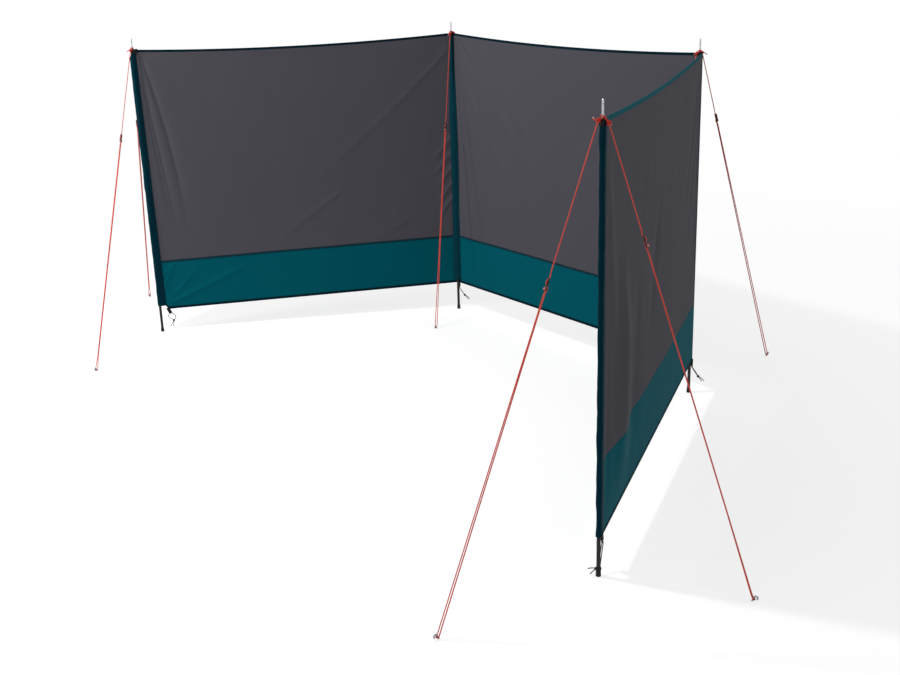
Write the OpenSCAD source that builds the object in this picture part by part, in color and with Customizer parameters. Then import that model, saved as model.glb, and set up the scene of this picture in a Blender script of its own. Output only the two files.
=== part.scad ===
// Beach windbreak: four poles, three cloth bays with a skirt below, and eight guys.
// Lengths are in millimetres and angles in degrees. Z is up and the ground is at zero.

/* [Plan] */
// Distance between neighbouring poles
bay_width = 1665; // [1200:5:2200]
// How far the cloth turns at each corner pole
corner_turn = 60; // [40:1:70]

/* [Cloth] */
// Height of the top edge at the poles
top_height = 1542; // [1300:2:1800]
// Height of the seam between the upper cloth and the skirt, at the corner poles
seam_height = 426; // [360:2:500]
// Height of the lower edge of the skirt, at the corner poles
hem_height = 154; // [146:2:180]
// How far the seam and the lower edge drop towards an end pole
end_drop = 28; // [0:1:34]
// Thickness of the cloth
cloth_thickness = 2; // [1.6:0.1:3]
// How far the top edge hangs down in the middle of a bay
edge_sag = 23; // [15:1:60]
// Height of the binding along the top edge
top_binding = 15; // [8:1:20]
// Height of the hem along the lower edge
lower_binding = 14; // [8:1:20]
// Thickness of the binding and of the hem
binding_thickness = 4; // [3.2:0.2:6]

/* [Poles] */
// Diameter of a pole
pole_diameter = 14; // [11:0.5:18]
// Diameter of the spike on top of a pole
spike_diameter = 7; // [5:0.5:9]
// Length of the spike above the pole
spike_length = 58; // [45:1:90]
// Height of the cap on the foot of a pole
foot_height = 22; // [16:1:32]
// Wall of the cap on the foot
foot_wall = 2; // [1.5:0.1:3]
// Thickness of the bottom of the cap
foot_floor = 8; // [4:1:10]

/* [Sleeves] */
// Width of the sleeve on an end pole
end_sleeve_width = 30; // [24:1:45]
// Width of each half of the sleeve on a corner pole
corner_sleeve_width = 24; // [18:1:34]
// Wall of a sleeve
sleeve_wall = 1; // [0.8:0.1:2]
// From the top edge down to a sleeve
sleeve_top_gap = 34; // [20:1:60]
// From the lower edge up to a sleeve
sleeve_lower_gap = 22; // [8:1:40]

/* [Webbing] */
// Width of the webbing
webbing_width = 18; // [14:1:20]
// Thickness of the webbing
webbing_thickness = 3; // [2:0.2:4]
// Length of the tabs that hang at the lower corners
tab_length = 26; // [18:1:34]
// Diameter of the elastic in the tabs
elastic_diameter = 3.4; // [2.4:0.1:4]

/* [Guys] */
// Diameter of a guy
guy_diameter = 4; // [3:0.2:5]
// Direction of the front guy of the left end pole
left_front_angle = -58; // [-90:1:-30]
// Reach of the front guy of the left end pole
left_front_reach = 617; // [500:1:900]
// Direction of the back guy of the left end pole
left_back_angle = 161; // [130:1:180]
// Reach of the back guy of the left end pole
left_back_reach = 675; // [500:1:900]
// Direction of the front guy of the right end pole
right_front_angle = -96; // [-120:1:-70]
// Reach of the front guy of the right end pole
right_front_reach = 638; // [500:1:900]
// Direction of the back guy of the right end pole
right_back_angle = 32; // [10:1:50]
// Reach of the back guy of the right end pole
right_back_reach = 501; // [450:1:900]
// Reach of the guys inside the corners
inside_reach = 353; // [300:1:600]
// Reach of the guys outside the corners
outside_reach = 635; // [500:1:900]
// Turn of the guys outside the corners, from straight back towards the middle
outside_angle = -4; // [-20:1:20]
// From the knot down to the runner on the front guy of the left end pole
left_front_runner = 472; // [350:1:650]
// From the knot down to the runner on the back guy of the left end pole
left_back_runner = 459; // [350:1:650]
// From the knot down to the runner on the front guy of the right end pole
right_front_runner = 527; // [350:1:650]
// From the knot down to the runner on the back guy of the right end pole
right_back_runner = 402; // [350:1:650]
// From the knot down to the runner on the guys inside the corners
inside_runner = 506; // [350:1:650]
// From the knot down to the runner on the guys outside the corners
outside_runner = 330; // [300:1:650]
// Length of a runner
runner_length = 42; // [30:1:60]
// Width of a runner
runner_width = 12; // [11:0.5:18]
// Thickness of a runner
runner_thickness = 7; // [6:0.5:10]

/* [Pegs] */
// Diameter of the peg wire
peg_diameter = 6; // [5:0.5:8]
// Height of the peg up to its bend
peg_height = 15; // [14:1:30]
// Radius of the bend of the peg
peg_bend = 5.5; // [5.5:0.5:12]
// How far the top of a peg leans away from its pole
peg_lean = 25; // [0:1:35]

/* [Hidden] */
fit = 0.25;
half_turn = corner_turn / 2;
wire = peg_diameter / 2;
guy_r = guy_diameter / 2;
loop_height = guy_r + 5;
peg_end = 3;
peg_out = peg_bend * (1 + cos(peg_lean)) + (peg_height - loop_height) * sin(peg_lean);

// The poles, with the middle bay along X
raw_poles = [
    [-bay_width / 2 - bay_width * cos(corner_turn), -bay_width * sin(corner_turn)],
    [-bay_width / 2, 0],
    [bay_width / 2, 0],
    [bay_width / 2 + bay_width * cos(corner_turn), -bay_width * sin(corner_turn)]
];

// Each guy: its pole, its direction, its reach and the place of its runner
guys = [
    [0, left_front_angle, left_front_reach, left_front_runner],
    [0, left_back_angle, left_back_reach, left_back_runner],
    [1, -90 + half_turn, inside_reach, inside_runner],
    [1, 90 + outside_angle, outside_reach, outside_runner],
    [2, -90 - half_turn, inside_reach, inside_runner],
    [2, 90 - outside_angle, outside_reach, outside_runner],
    [3, right_front_angle, right_front_reach, right_front_runner],
    [3, right_back_angle, right_back_reach, right_back_runner]
];
guy_dir = [for (g = guys) [cos(g[1]), sin(g[1])]];
raw_pegs = [for (i = [0:7]) raw_poles[guys[i][0]] + guys[i][2] * guy_dir[i]];

// The pegs are the outermost pieces, so the middle of the whole is found from them
low = [for (k = [0:1]) min([for (i = [0:7]) raw_pegs[i][k] + min(0, peg_out * guy_dir[i][k])])];
high = [for (k = [0:1]) max([for (i = [0:7]) raw_pegs[i][k] + max(0, peg_out * guy_dir[i][k])])];
poles = [for (p = raw_poles) p - (low + high) / 2];
pegs = [for (p = raw_pegs) p - (low + high) / 2];

// The cloth runs on the outer side of the corner poles and to the middle of the end poles
bore_r = pole_diameter / 2 + fit;
cloth_off = bore_r + sleeve_wall + fit + cloth_thickness / 2;
out_angle = [0, 90 + half_turn, 90 - half_turn, 0];
corner_off = cloth_off / cos(half_turn);
cloth_line = [
    poles[0],
    poles[1] + corner_off * [cos(out_angle[1]), sin(out_angle[1])],
    poles[2] + corner_off * [cos(out_angle[2]), sin(out_angle[2])],
    poles[3]
];
bay_line = [for (i = [0:2]) cloth_line[i + 1] - cloth_line[i]];
bay_run = [for (line = bay_line) norm(line)];
bay_angle = [for (line = bay_line) atan2(line[1], line[0])];
end_cut = end_sleeve_width + fit;
corner_cut = binding_thickness / 2 * tan(half_turn) + fit;
bay_from = [end_cut, corner_cut, corner_cut];
bay_to = [bay_run[0] - corner_cut, bay_run[1] - corner_cut, bay_run[2] - end_cut];
spike_top = top_height + spike_length;
collar_r = spike_diameter / 2 + 0.5;
knot_r = collar_r + fit + guy_r;
knot_z = top_height + webbing_thickness + 2 * fit + guy_r;
knot_pitch = guy_diameter * 0.9;
collar_height = knot_z + 2 * knot_pitch + guy_r + 1 - top_height;
guy_start = knot_r + 2 * guy_r + 0.2;
tab_edge = end_cut + 16;
tab_x = tab_edge + webbing_width / 2;
end_hem = hem_height - end_fall(0, tab_edge);
tab_low = hem_height - fit - tab_length;
end_tab_low = end_hem - fit - tab_length;

// The free elastic at the left end, as two strands from its tab: along the tab, across it and up
end_strand = [
    [-5, 0, 0], [-11, 0, -9], [-12, 0, -20], [-4, 1, -32], [8, 2.2, -42], [6, 4, -55], [-4, 5, -72]
];
end_strand_back = [
    [5, 0, 0], [16, 0, -9], [21, 0, -21], [17, -1, -33], [10, -2.2, -42], [12, -4, -56], [9, -5, -70]
];
// The free elastic at the corners: outwards, along the tab and up
corner_strand = [
    [0, 4, 0], [4, 6, -9], [12, 6.5, -22], [22, 4.5, -38], [31, 2.2, -52], [42, 5, -66], [53, 7, -82]
];
corner_strand_back = [
    [0, -4, 0], [5, -6, -9], [14, -6.5, -22], [24, -4.5, -38], [33, -2.2, -52], [47, -3, -62], [60, -4, -76]
];

// Puts its children at a pole, with Z on the axis of the pole
module at_pole(i) {
    translate([poles[i][0], poles[i][1], 0])
        children();
}

// Puts its children at the start of a bay, with X along the cloth and Y to the outside
module in_bay(i) {
    translate([cloth_line[i][0], cloth_line[i][1], 0])
        rotate([0, 0, bay_angle[i]])
            children();
}

// Stands a drawing up in the bay, with the drawing's Y as the height
module upright(thickness) {
    translate([0, thickness / 2, 0])
        rotate([90, 0, 0])
            linear_extrude(thickness)
                children();
}

module pole(i) {
    color([0.1, 0.1, 0.11])
        at_pole(i)
            translate([0, 0, foot_floor])
                cylinder(d = pole_diameter, h = top_height - foot_floor, $fn = 48);
}

// A spike with a slightly thicker collar, where the strap and the knot sit
module spike(i) {
    color([0.72, 0.73, 0.75])
        at_pole(i)
            translate([0, 0, top_height]) {
                cylinder(r = collar_r, h = collar_height, $fn = 48);
                cylinder(d = spike_diameter, h = spike_length - 2, $fn = 48);
                translate([0, 0, spike_length - 2])
                    cylinder(d1 = spike_diameter, d2 = spike_diameter - 3, h = 2, $fn = 48);
            }
}

module foot(i) {
    color([0.06, 0.06, 0.065])
        at_pole(i)
            difference() {
                cylinder(r = bore_r + foot_wall, h = foot_height, $fn = 48);
                translate([0, 0, foot_floor])
                    cylinder(r = bore_r, h = foot_height, $fn = 48);
            }
}

// How much lower the seam and the lower edge lie at a place along a bay
function end_fall(i, x) =
    let (share = i == 0 ? 1 - x / bay_run[0] : i == 2 ? x / bay_run[2] : 0)
    end_drop * share;

// A strip of cloth between two heights, which are given at the corner poles
module strip(i, from, to) {
    a = bay_from[i];
    b = bay_to[i];
    polygon([
        [a, from - end_fall(i, a)], [b, from - end_fall(i, b)],
        [b, to - end_fall(i, b)], [a, to - end_fall(i, a)]
    ]);
}

// A sleeve on an end pole: round over the pole and flat where it is sewn to the cloth
module end_sleeve(i, angle) {
    r = bore_r + sleeve_wall;
    reach = end_sleeve_width;
    edge = cloth_thickness / 2;
    back = r / 4;
    shoulder = r * 0.94;
    length = top_height - sleeve_top_gap - end_hem - sleeve_lower_gap;
    color([0.02, 0.1, 0.13])
        at_pole(i)
            rotate([0, 0, angle])
                translate([0, 0, end_hem + sleeve_lower_gap])
                    difference() {
                        union() {
                            cylinder(r = r, h = length, $fn = 48);
                            linear_extrude(length)
                                polygon([
                                    [-back, shoulder], [reach, edge],
                                    [reach, -edge], [-back, -shoulder]
                                ]);
                        }
                        translate([0, 0, -1])
                            cylinder(r = bore_r, h = length + 2, $fn = 48);
                    }
}

// A sleeve on a corner pole: it lies in the corner of the cloth and goes round the pole
module corner_sleeve(i) {
    r = bore_r + sleeve_wall;
    tip = r / cos(half_turn);
    side = [-sin(half_turn), cos(half_turn)];
    far = [tip, 0] + corner_sleeve_width * side;
    near = far - 2 * [cos(half_turn), sin(half_turn)];
    lean = 90 + half_turn + 30;
    inner = r * [cos(lean), sin(lean)];
    color([0.02, 0.1, 0.13])
        at_pole(i)
            rotate([0, 0, out_angle[i]])
                translate([0, 0, hem_height + sleeve_lower_gap])
                    linear_extrude(top_height - sleeve_top_gap - hem_height - sleeve_lower_gap)
                        difference() {
                            union() {
                                circle(r = r, $fn = 48);
                                polygon([
                                    [tip, 0], far, near, inner,
                                    [inner[0], -inner[1]], [near[0], -near[1]], [far[0], -far[1]]
                                ]);
                            }
                            circle(r = bore_r, $fn = 48);
                        }
}

// The curve of the top edge of a bay, as the disc that is cut away above it
module edge_disc(i, grow) {
    half = (bay_to[i] - bay_from[i]) / 2;
    radius = (half * half + edge_sag * edge_sag) / (2 * edge_sag);
    translate([bay_from[i] + half, top_height + radius - edge_sag])
        circle(r = radius + grow, $fn = 400);
}

module panel(i) {
    color([0.055, 0.055, 0.062])
        in_bay(i)
            upright(cloth_thickness)
                difference() {
                    strip(i, seam_height, top_height);
                    edge_disc(i, top_binding + fit);
                }
}

// The corner below an end sleeve, which is cut away on the slant down to the tab
module slanted_corner(i) {
    run = tab_edge - end_cut;
    rise = sleeve_lower_gap;
    if (i != 1)
        translate([i == 0 ? 0 : bay_run[i], end_hem])
            mirror([i == 0 ? 0 : 1, 0])
                polygon([[end_cut - run, -rise], [tab_edge + run, -rise], [end_cut - run, 2 * rise]]);
}

module skirt(i) {
    color([0, 0.1, 0.13])
        in_bay(i)
            upright(cloth_thickness)
                difference() {
                    strip(i, hem_height + lower_binding + fit, seam_height - fit);
                    slanted_corner(i);
                }
}

module top_edge(i) {
    color([0.01, 0.06, 0.075])
        in_bay(i)
            upright(binding_thickness)
                difference() {
                    intersection() {
                        translate([bay_from[i], top_height - edge_sag - 2 * top_binding])
                            square([bay_to[i] - bay_from[i], edge_sag + 2 * top_binding]);
                        edge_disc(i, top_binding);
                    }
                    edge_disc(i, 0);
                }
}

module lower_edge(i) {
    color([0.01, 0.04, 0.05])
        in_bay(i)
            upright(binding_thickness)
                difference() {
                    strip(i, hem_height, hem_height + lower_binding);
                    slanted_corner(i);
                }
}

// A strap over the top of a pole, with a hole for the spike and a flap round the pole down to its sleeve;
// at a corner it is a round patch
module strap(i, angle, reach) {
    round_d = webbing_width + (reach == 0 ? 3 : 0);
    flap = sleeve_top_gap;
    at_pole(i)
        rotate([0, 0, angle])
            translate([0, 0, top_height + fit]) {
                translate([0, 0, -flap])
                    rotate([0, 0, 60])
                        rotate_extrude(angle = 240, $fn = 48)
                            translate([bore_r, 0])
                                square([sleeve_wall, flap + 0.5]);
                difference() {
                    union() {
                        cylinder(d = round_d, h = webbing_thickness, $fn = 48);
                        if (reach > 0)
                            translate([0, -webbing_width / 2, 0])
                                cube([reach, webbing_width, webbing_thickness]);
                    }
                    translate([0, 0, -1])
                        cylinder(r = collar_r + fit, h = webbing_thickness + 2, $fn = 48);
                }
            }
}

module top_straps() {
    color([0.02, 0.02, 0.022]) {
        strap(0, bay_angle[0], end_cut + 12);
        strap(1, out_angle[1], 0);
        strap(2, out_angle[2], 0);
        strap(3, bay_angle[2] + 180, end_cut + 12);
    }
}

module tab_block(low) {
    translate([-webbing_width / 2, -webbing_thickness / 2, low])
        cube([webbing_width, webbing_thickness, tab_length]);
}

module lower_tabs() {
    color([0.02, 0.02, 0.022]) {
        in_bay(0)
            translate([tab_x, 0, 0])
                tab_block(end_tab_low);
        for (i = [1, 2])
            at_pole(i)
                rotate([0, 0, out_angle[i]])
                    translate([corner_off, 0, 0])
                        rotate([0, 0, 90])
                            tab_block(tab_low);
        in_bay(2)
            translate([bay_run[2] - tab_x, 0, 0])
                tab_block(end_tab_low);
    }
}

// Three turns of cord round the spike
module knot(i) {
    at_pole(i)
        translate([0, 0, knot_z])
            rotate_extrude($fn = 48)
                for (k = [0:2])
                    translate([knot_r, k * knot_pitch])
                        circle(r = guy_r, $fn = 24);
}

module guy_knots() {
    color([0.55, 0.07, 0.05])
        for (i = [0:3])
            knot(i);
}

// Each guy as a line from the knot to the loop at the peg
function guy_top(i) = [
    poles[guys[i][0]][0] + guy_start * guy_dir[i][0],
    poles[guys[i][0]][1] + guy_start * guy_dir[i][1],
    knot_z + 2 * knot_pitch
];
function guy_end(i) = [pegs[i][0], pegs[i][1], loop_height];
function guy_run(i) = norm(guy_end(i) - guy_top(i));
function guy_slope(i) = acos((guy_top(i)[2] - guy_end(i)[2]) / guy_run(i));

// Puts its children on a guy, with Z pointing down along it from the knot
module on_guy(i) {
    translate(guy_top(i))
        rotate([0, 180 - guy_slope(i), guys[i][1]])
            children();
}

// A tube along a list of points, with flat ends; the reference is never along the path
module tube(path, radius, reference) {
    sides = 8;
    last = len(path) - 1;
    rings = [for (k = [0:last])
        let (
            ahead = path[min(k + 1, last)] - path[max(k - 1, 0)],
            along = ahead / norm(ahead),
            across = cross(along, reference),
            side = across / norm(across),
            up = cross(side, along)
        )
        [for (s = [0:sides - 1])
            let (a = s * 360 / sides)
            path[k] + radius * (cos(a) * side + sin(a) * up)]];
    walls = [for (k = [0:last - 1]) for (s = [0:sides - 1])
        [k * sides + s, k * sides + (s + 1) % sides, (k + 1) * sides + (s + 1) % sides, (k + 1) * sides + s]];
    start = [for (s = [sides - 1:-1:0]) s];
    end = [for (s = [0:sides - 1]) last * sides + s];
    polyhedron(points = [for (ring = rings) for (p = ring) p], faces = concat([start], walls, [end]));
}

// The two lower strands of a guy, in the frame of its peg: X away from the pole, Z up
function loop_path(i) =
    let (
        r = wire / cos(peg_lean) + guy_r + fit,
        apart = runner_width / 2 - guy_r,
        length = guy_run(i) - guys[i][3] - runner_length / 2 - fit,
        high = [-length * sin(guy_slope(i)), 0, loop_height + length * cos(guy_slope(i))],
        left = [for (t = [0:0.25:0.75]) (1 - t) * (high + [0, apart, 0]) + t * [-6, r, loop_height + 15]],
        bow = [for (a = [90:-22.5:-90]) [r * cos(a), r * sin(a), loop_height]],
        bend = [[-6, r, loop_height + 15], [-3.5, r, loop_height + 8], [-1.5, r, loop_height + 2.5]],
        right = [for (p = concat(left, bend)) [p[0], -p[1], p[2]]]
    )
    concat(left, bend, bow, [for (k = [len(right) - 1:-1:0]) right[k]]);

module guy(i) {
    color([0.6, 0.08, 0.05]) {
        on_guy(i)
            cylinder(r = guy_r, h = guys[i][3] - runner_length / 2 - fit, $fn = 24);
        translate([pegs[i][0], pegs[i][1], 0])
            rotate([0, 0, guys[i][1]])
                tube(loop_path(i), guy_r, [0.6, 0, 0.8]);
    }
}

module guy_runners() {
    color([0.12, 0.02, 0.02])
        for (i = [0:7])
            on_guy(i)
                translate([-runner_thickness / 2, -runner_width / 2, guys[i][3] - runner_length / 2])
                    cube([runner_thickness, runner_width, runner_length]);
}

// Pegs of bent wire that lean away from their poles, cut off at the ground
module ground_pegs() {
    high = peg_height - loop_height;
    color([0.55, 0.56, 0.58])
        for (i = [0:7])
            translate([pegs[i][0], pegs[i][1], loop_height])
                rotate([0, 0, guys[i][1]])
                    difference() {
                        rotate([0, peg_lean, 0]) {
                            translate([0, 0, -2 * loop_height])
                                cylinder(r = wire, h = 2 * loop_height + high, $fn = 32);
                            translate([peg_bend, 0, high])
                                rotate([90, 0, 0])
                                    rotate_extrude(angle = 180, $fn = 64)
                                        translate([peg_bend, 0])
                                            circle(r = wire, $fn = 32);
                            translate([2 * peg_bend, 0, high - peg_end])
                                cylinder(r = wire, h = peg_end, $fn = 32);
                        }
                        translate([-50, -50, -100 - loop_height])
                            cube(100);
                    }
}

// A round curve through a list of points
function curve(p, steps) = [
    for (k = [0:len(p) - 2])
        for (s = [0:steps - (k < len(p) - 2 ? 1 : 0)])
            let (
                t = s / steps,
                a = p[max(k - 1, 0)],
                b = p[k],
                c = p[k + 1],
                d = p[min(k + 2, len(p) - 1)]
            )
            b + 0.5 * (t * (c - a)
                + t * t * (2 * a - 5 * b + 4 * c - d)
                + t * t * t * (3 * b - a - 3 * c + d))
];

// A strand of elastic turned aside below its tab
function turned(p, angle) = [
    for (k = [0:len(p) - 1])
        let (a = k == 0 ? 0 : angle)
        [p[k][0] * cos(a) - p[k][1] * sin(a), p[k][0] * sin(a) + p[k][1] * cos(a), p[k][2]]
];

// Two strands of elastic that hang from a tab
module elastic_pair(low, one, other, angle = 0) {
    r = elastic_diameter / 2;
    side = [-sin(angle), cos(angle), 0.1];
    color([0.03, 0.03, 0.035])
        translate([0, 0, low - fit]) {
            tube(curve(turned(one, angle), 2), r, side);
            tube(curve(turned(other, angle), 2), r, side);
        }
}

module left_end_elastic() {
    in_bay(0)
        translate([tab_x, 0, 0])
            elastic_pair(end_tab_low, end_strand, end_strand_back);
}

module corner_elastic(i) {
    aside = i == 1 ? -corner_turn : 0;
    at_pole(i)
        rotate([0, 0, out_angle[i]])
            translate([corner_off, 0, 0])
                elastic_pair(tab_low, corner_strand, corner_strand_back, aside);
}

// The elastic of the right end is tied round the foot of its pole
module right_end_elastic() {
    r = elastic_diameter / 2;
    ring = pole_diameter / 2 + fit + r;
    tie = foot_height + 3 + r;
    drop = end_tab_low - fit - tie - r;
    gap = ring + 2 * r + 0.2;
    lean = atan2(tab_x - gap, drop);
    color([0.03, 0.03, 0.035])
        in_bay(2)
            translate([bay_run[2], 0, tie]) {
                rotate_extrude($fn = 48)
                    translate([ring, 0])
                        circle(r = r, $fn = 24);
                translate([-gap, 0, r])
                    rotate([0, -lean, 0])
                        cylinder(r = r, h = (drop - r * sin(lean)) / cos(lean), $fn = 24);
                for (tail = [[-84, 100], [-54, 124]])
                    rotate([0, 0, tail[0]])
                        translate([ring + (r + 0.2) / sin(tail[1]), 0, 0])
                            rotate([0, tail[1], 0])
                                cylinder(r = r, h = 26, $fn = 24);
            }
}

pole(0);  // left_end_pole
pole(1);  // left_corner_pole
pole(2);  // right_corner_pole
pole(3);  // right_end_pole
spike(0);  // left_end_spike
spike(1);  // left_corner_spike
spike(2);  // right_corner_spike
spike(3);  // right_end_spike
foot(0);  // left_end_foot
foot(1);  // left_corner_foot
foot(2);  // right_corner_foot
foot(3);  // right_end_foot
end_sleeve(0, bay_angle[0]);  // left_end_sleeve
corner_sleeve(1);  // left_corner_sleeve
corner_sleeve(2);  // right_corner_sleeve
end_sleeve(3, bay_angle[2] + 180);  // right_end_sleeve
panel(0);  // left_panel
panel(1);  // middle_panel
panel(2);  // right_panel
skirt(0);  // left_skirt
skirt(1);  // middle_skirt
skirt(2);  // right_skirt
top_edge(0);  // left_top_binding
top_edge(1);  // middle_top_binding
top_edge(2);  // right_top_binding
lower_edge(0);  // left_lower_hem
lower_edge(1);  // middle_lower_hem
lower_edge(2);  // right_lower_hem
top_straps();
lower_tabs();
guy_knots();
guy(0);  // left_front_guy
guy(1);  // left_back_guy
guy(2);  // left_inside_guy
guy(3);  // left_outside_guy
guy(4);  // right_inside_guy
guy(5);  // right_outside_guy
guy(6);  // right_front_guy
guy(7);  // right_back_guy
guy_runners();
ground_pegs();
left_end_elastic();
corner_elastic(1);  // left_corner_elastic
corner_elastic(2);  // right_corner_elastic
right_end_elastic();
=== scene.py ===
import math

import bmesh
import bpy
from mathutils import Matrix, Vector, noise


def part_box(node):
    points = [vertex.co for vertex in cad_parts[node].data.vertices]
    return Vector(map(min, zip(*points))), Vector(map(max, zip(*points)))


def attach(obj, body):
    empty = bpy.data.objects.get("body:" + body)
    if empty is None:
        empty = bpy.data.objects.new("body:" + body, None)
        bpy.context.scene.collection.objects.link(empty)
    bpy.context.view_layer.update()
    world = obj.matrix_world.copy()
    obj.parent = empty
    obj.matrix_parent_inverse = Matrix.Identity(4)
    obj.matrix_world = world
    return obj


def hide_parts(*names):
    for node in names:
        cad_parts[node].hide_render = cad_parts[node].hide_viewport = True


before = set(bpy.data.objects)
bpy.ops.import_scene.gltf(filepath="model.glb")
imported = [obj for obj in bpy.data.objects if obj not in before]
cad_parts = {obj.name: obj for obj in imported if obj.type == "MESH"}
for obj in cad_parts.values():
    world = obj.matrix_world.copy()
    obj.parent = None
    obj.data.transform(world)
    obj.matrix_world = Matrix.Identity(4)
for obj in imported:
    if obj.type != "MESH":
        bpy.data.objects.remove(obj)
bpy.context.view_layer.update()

BODY = "root"
MM = 0.001
UP = Vector((0, 0, 1))
POLE_NAMES = ["left_end", "left_corner", "right_corner", "right_end"]
BAY_NAMES = ["left", "middle", "right"]
CORNERS = (1, 2)  # the corner poles' places in the list


# Camera, as the photograph was taken

IMAGE_WIDTH = 900
IMAGE_HEIGHT = 675
FOCAL_PIXELS = 1168.82
OPTIC_X = 406.13
OPTIC_Y = 284.65
SENSOR = 36.0
CAMERA_PLACE = (4.1989, -3.2395, 2.1302)
CAMERA_AZIMUTH = 0.94
CAMERA_PITCH = 0.3033
CAMERA_ROLL = -0.0425


def make_camera():
    data = bpy.data.cameras.new("camera")
    data.sensor_width = SENSOR
    data.lens = FOCAL_PIXELS / IMAGE_WIDTH * SENSOR
    data.shift_x = (IMAGE_WIDTH / 2 - OPTIC_X) / IMAGE_WIDTH
    data.shift_y = (OPTIC_Y - IMAGE_HEIGHT / 2) / IMAGE_WIDTH
    camera = bpy.data.objects.new("camera", data)
    turn = Matrix.Rotation(CAMERA_AZIMUTH, 4, "Z")
    tip = Matrix.Rotation(math.pi / 2 - CAMERA_PITCH, 4, "X")
    roll = Matrix.Rotation(CAMERA_ROLL, 4, "Z")
    camera.matrix_world = Matrix.Translation(CAMERA_PLACE) @ turn @ tip @ roll
    bpy.context.scene.collection.objects.link(camera)
    bpy.context.scene.camera = camera


make_camera()


# Places, from the frame

def pole_axis(name):
    low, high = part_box(name + "_pole")
    return Vector(((low.x + high.x) / 2, (low.y + high.y) / 2, 0))


AXES = [pole_axis(name) for name in POLE_NAMES]
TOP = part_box("left_end_pole")[1].z
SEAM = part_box("middle_panel")[0].z
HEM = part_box("middle_lower_hem")[0].z
HEM_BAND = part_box("middle_lower_hem")[1].z - HEM
FOOT_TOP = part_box("left_end_foot")[1].z
POLE_R = (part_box("left_end_pole")[1].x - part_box("left_end_pole")[0].x) / 2
FIT = 0.25 * MM  # clearance between pieces that lie against each other
EDGE_SAG = 23 * MM  # how far the top edge hangs down between the poles
END_DROP = 28 * MM  # how far the seam and the hem fall towards an end pole
CLOTH_OFF = 9.5 * MM  # from a corner pole's axis to the cloth
SLEEVE_GAP = 22 * MM  # from the hem up to the lower end of a sleeve
END_CUT = 30.25 * MM  # from an end pole's axis to both ends of the hem's slant
TAB_EDGE = 46.25 * MM
SEWN_TOP = {"left_end": 13 * MM, "right_end": 25 * MM}  # from the axis to a sleeve's sewn line
SEWN_LOW = {"left_end": 32 * MM, "right_end": 25 * MM}
TAB_X = 55.25 * MM  # from an end pole's axis to the middle of its tab
TAB_LENGTH = 26 * MM


def heading(a, b):
    """The direction from one point to another, seen from above."""
    return math.atan2(b.y - a.y, b.x - a.x)


BAY_TURN = [heading(a, b) for a, b in zip(AXES, AXES[1:])]
OUTWARD = [0.0] + [math.pi / 2 + (BAY_TURN[i - 1] + BAY_TURN[i]) / 2 for i in CORNERS] + [0.0]
HALF_TURN = (BAY_TURN[0] - BAY_TURN[1]) / 2
CORNER_OFF = CLOTH_OFF / math.cos(HALF_TURN)


def cloth_corner(i):
    """The point where the cloth turns round a corner pole, or the axis of an end pole."""
    if i not in CORNERS:
        return AXES[i]
    return AXES[i] + CORNER_OFF * Vector((math.cos(OUTWARD[i]), math.sin(OUTWARD[i]), 0))


def corner_place(i):
    """X points outwards from a corner pole, with the origin on its axis."""
    return Matrix.Translation(AXES[i]) @ Matrix.Rotation(OUTWARD[i], 4, "Z")


class Bay:
    """One bay of cloth: X runs along it from its left pole and Y points to the outside."""

    def __init__(self, index):
        start = cloth_corner(index)
        end = cloth_corner(index + 1)
        self.index = index
        self.name = BAY_NAMES[index]
        self.run = (end - start).length
        self.place = Matrix.Translation(start) @ Matrix.Rotation(heading(start, end), 4, "Z")
        self.first = SEWN_TOP["left_end"] if index == 0 else 0.0
        self.last = self.run - SEWN_TOP["right_end"] if index == 2 else self.run

    def at(self, x, y, z):
        return self.place @ Vector((x, y, z))

    def top(self, x):
        """Height of the top edge, which hangs down between the poles."""
        share = (x - self.first) / (self.last - self.first)
        return TOP - EDGE_SAG * 4 * share * (1 - share)

    def from_end(self, x):
        """Distance from the bay's end pole; the middle bay has none."""
        if self.index == 0:
            return x
        return self.run - x if self.index == 2 else self.run

    def fall(self, x):
        """How much lower the seam and the hem lie here than at the corner poles."""
        return 0.0 if self.index == 1 else END_DROP * (1 - self.from_end(x) / self.run)

    def seam(self, x):
        return SEAM - self.fall(x)

    def hem(self, x):
        return HEM - self.fall(x)

    def low(self, x):
        """Height of the lower edge, which rises on the slant between a tab and an end sleeve."""
        share = (TAB_EDGE - self.from_end(x)) / (TAB_EDGE - END_CUT)
        return self.hem(x) + SLEEVE_GAP * min(max(share, 0), 1)


BAYS = [Bay(i) for i in range(len(BAY_NAMES))]
END_HEM = BAYS[0].hem(TAB_EDGE)


def by_height(top_value, low_value, z):
    """A value that changes evenly from the top of the cloth to the hem."""
    return low_value + (top_value - low_value) * (z - END_HEM) / (TOP - END_HEM)


def sewn_line(pole, z):
    """Distance of an end sleeve's sewn line from its pole's axis."""
    return by_height(SEWN_TOP[pole], SEWN_LOW[pole], z)


# Curves

ROUNDING_SHARE = 0.48  # the most of a stretch that the rounding of one corner takes up


def smooth_line(points, steps):
    """A round curve through points."""
    points = [Vector(p) for p in points]
    last = len(points) - 1
    line = []
    for k in range(last):
        a, b, c, d = points[max(k - 1, 0)], points[k], points[k + 1], points[min(k + 2, last)]
        for s in range(steps):
            t = s / steps
            bend = (2 * a - 5 * b + 4 * c - d) * t * t + (3 * b - a - 3 * c + d) * t ** 3
            line.append(0.5 * (2 * b + (c - a) * t + bend))
    line.append(points[-1])
    return line


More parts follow.
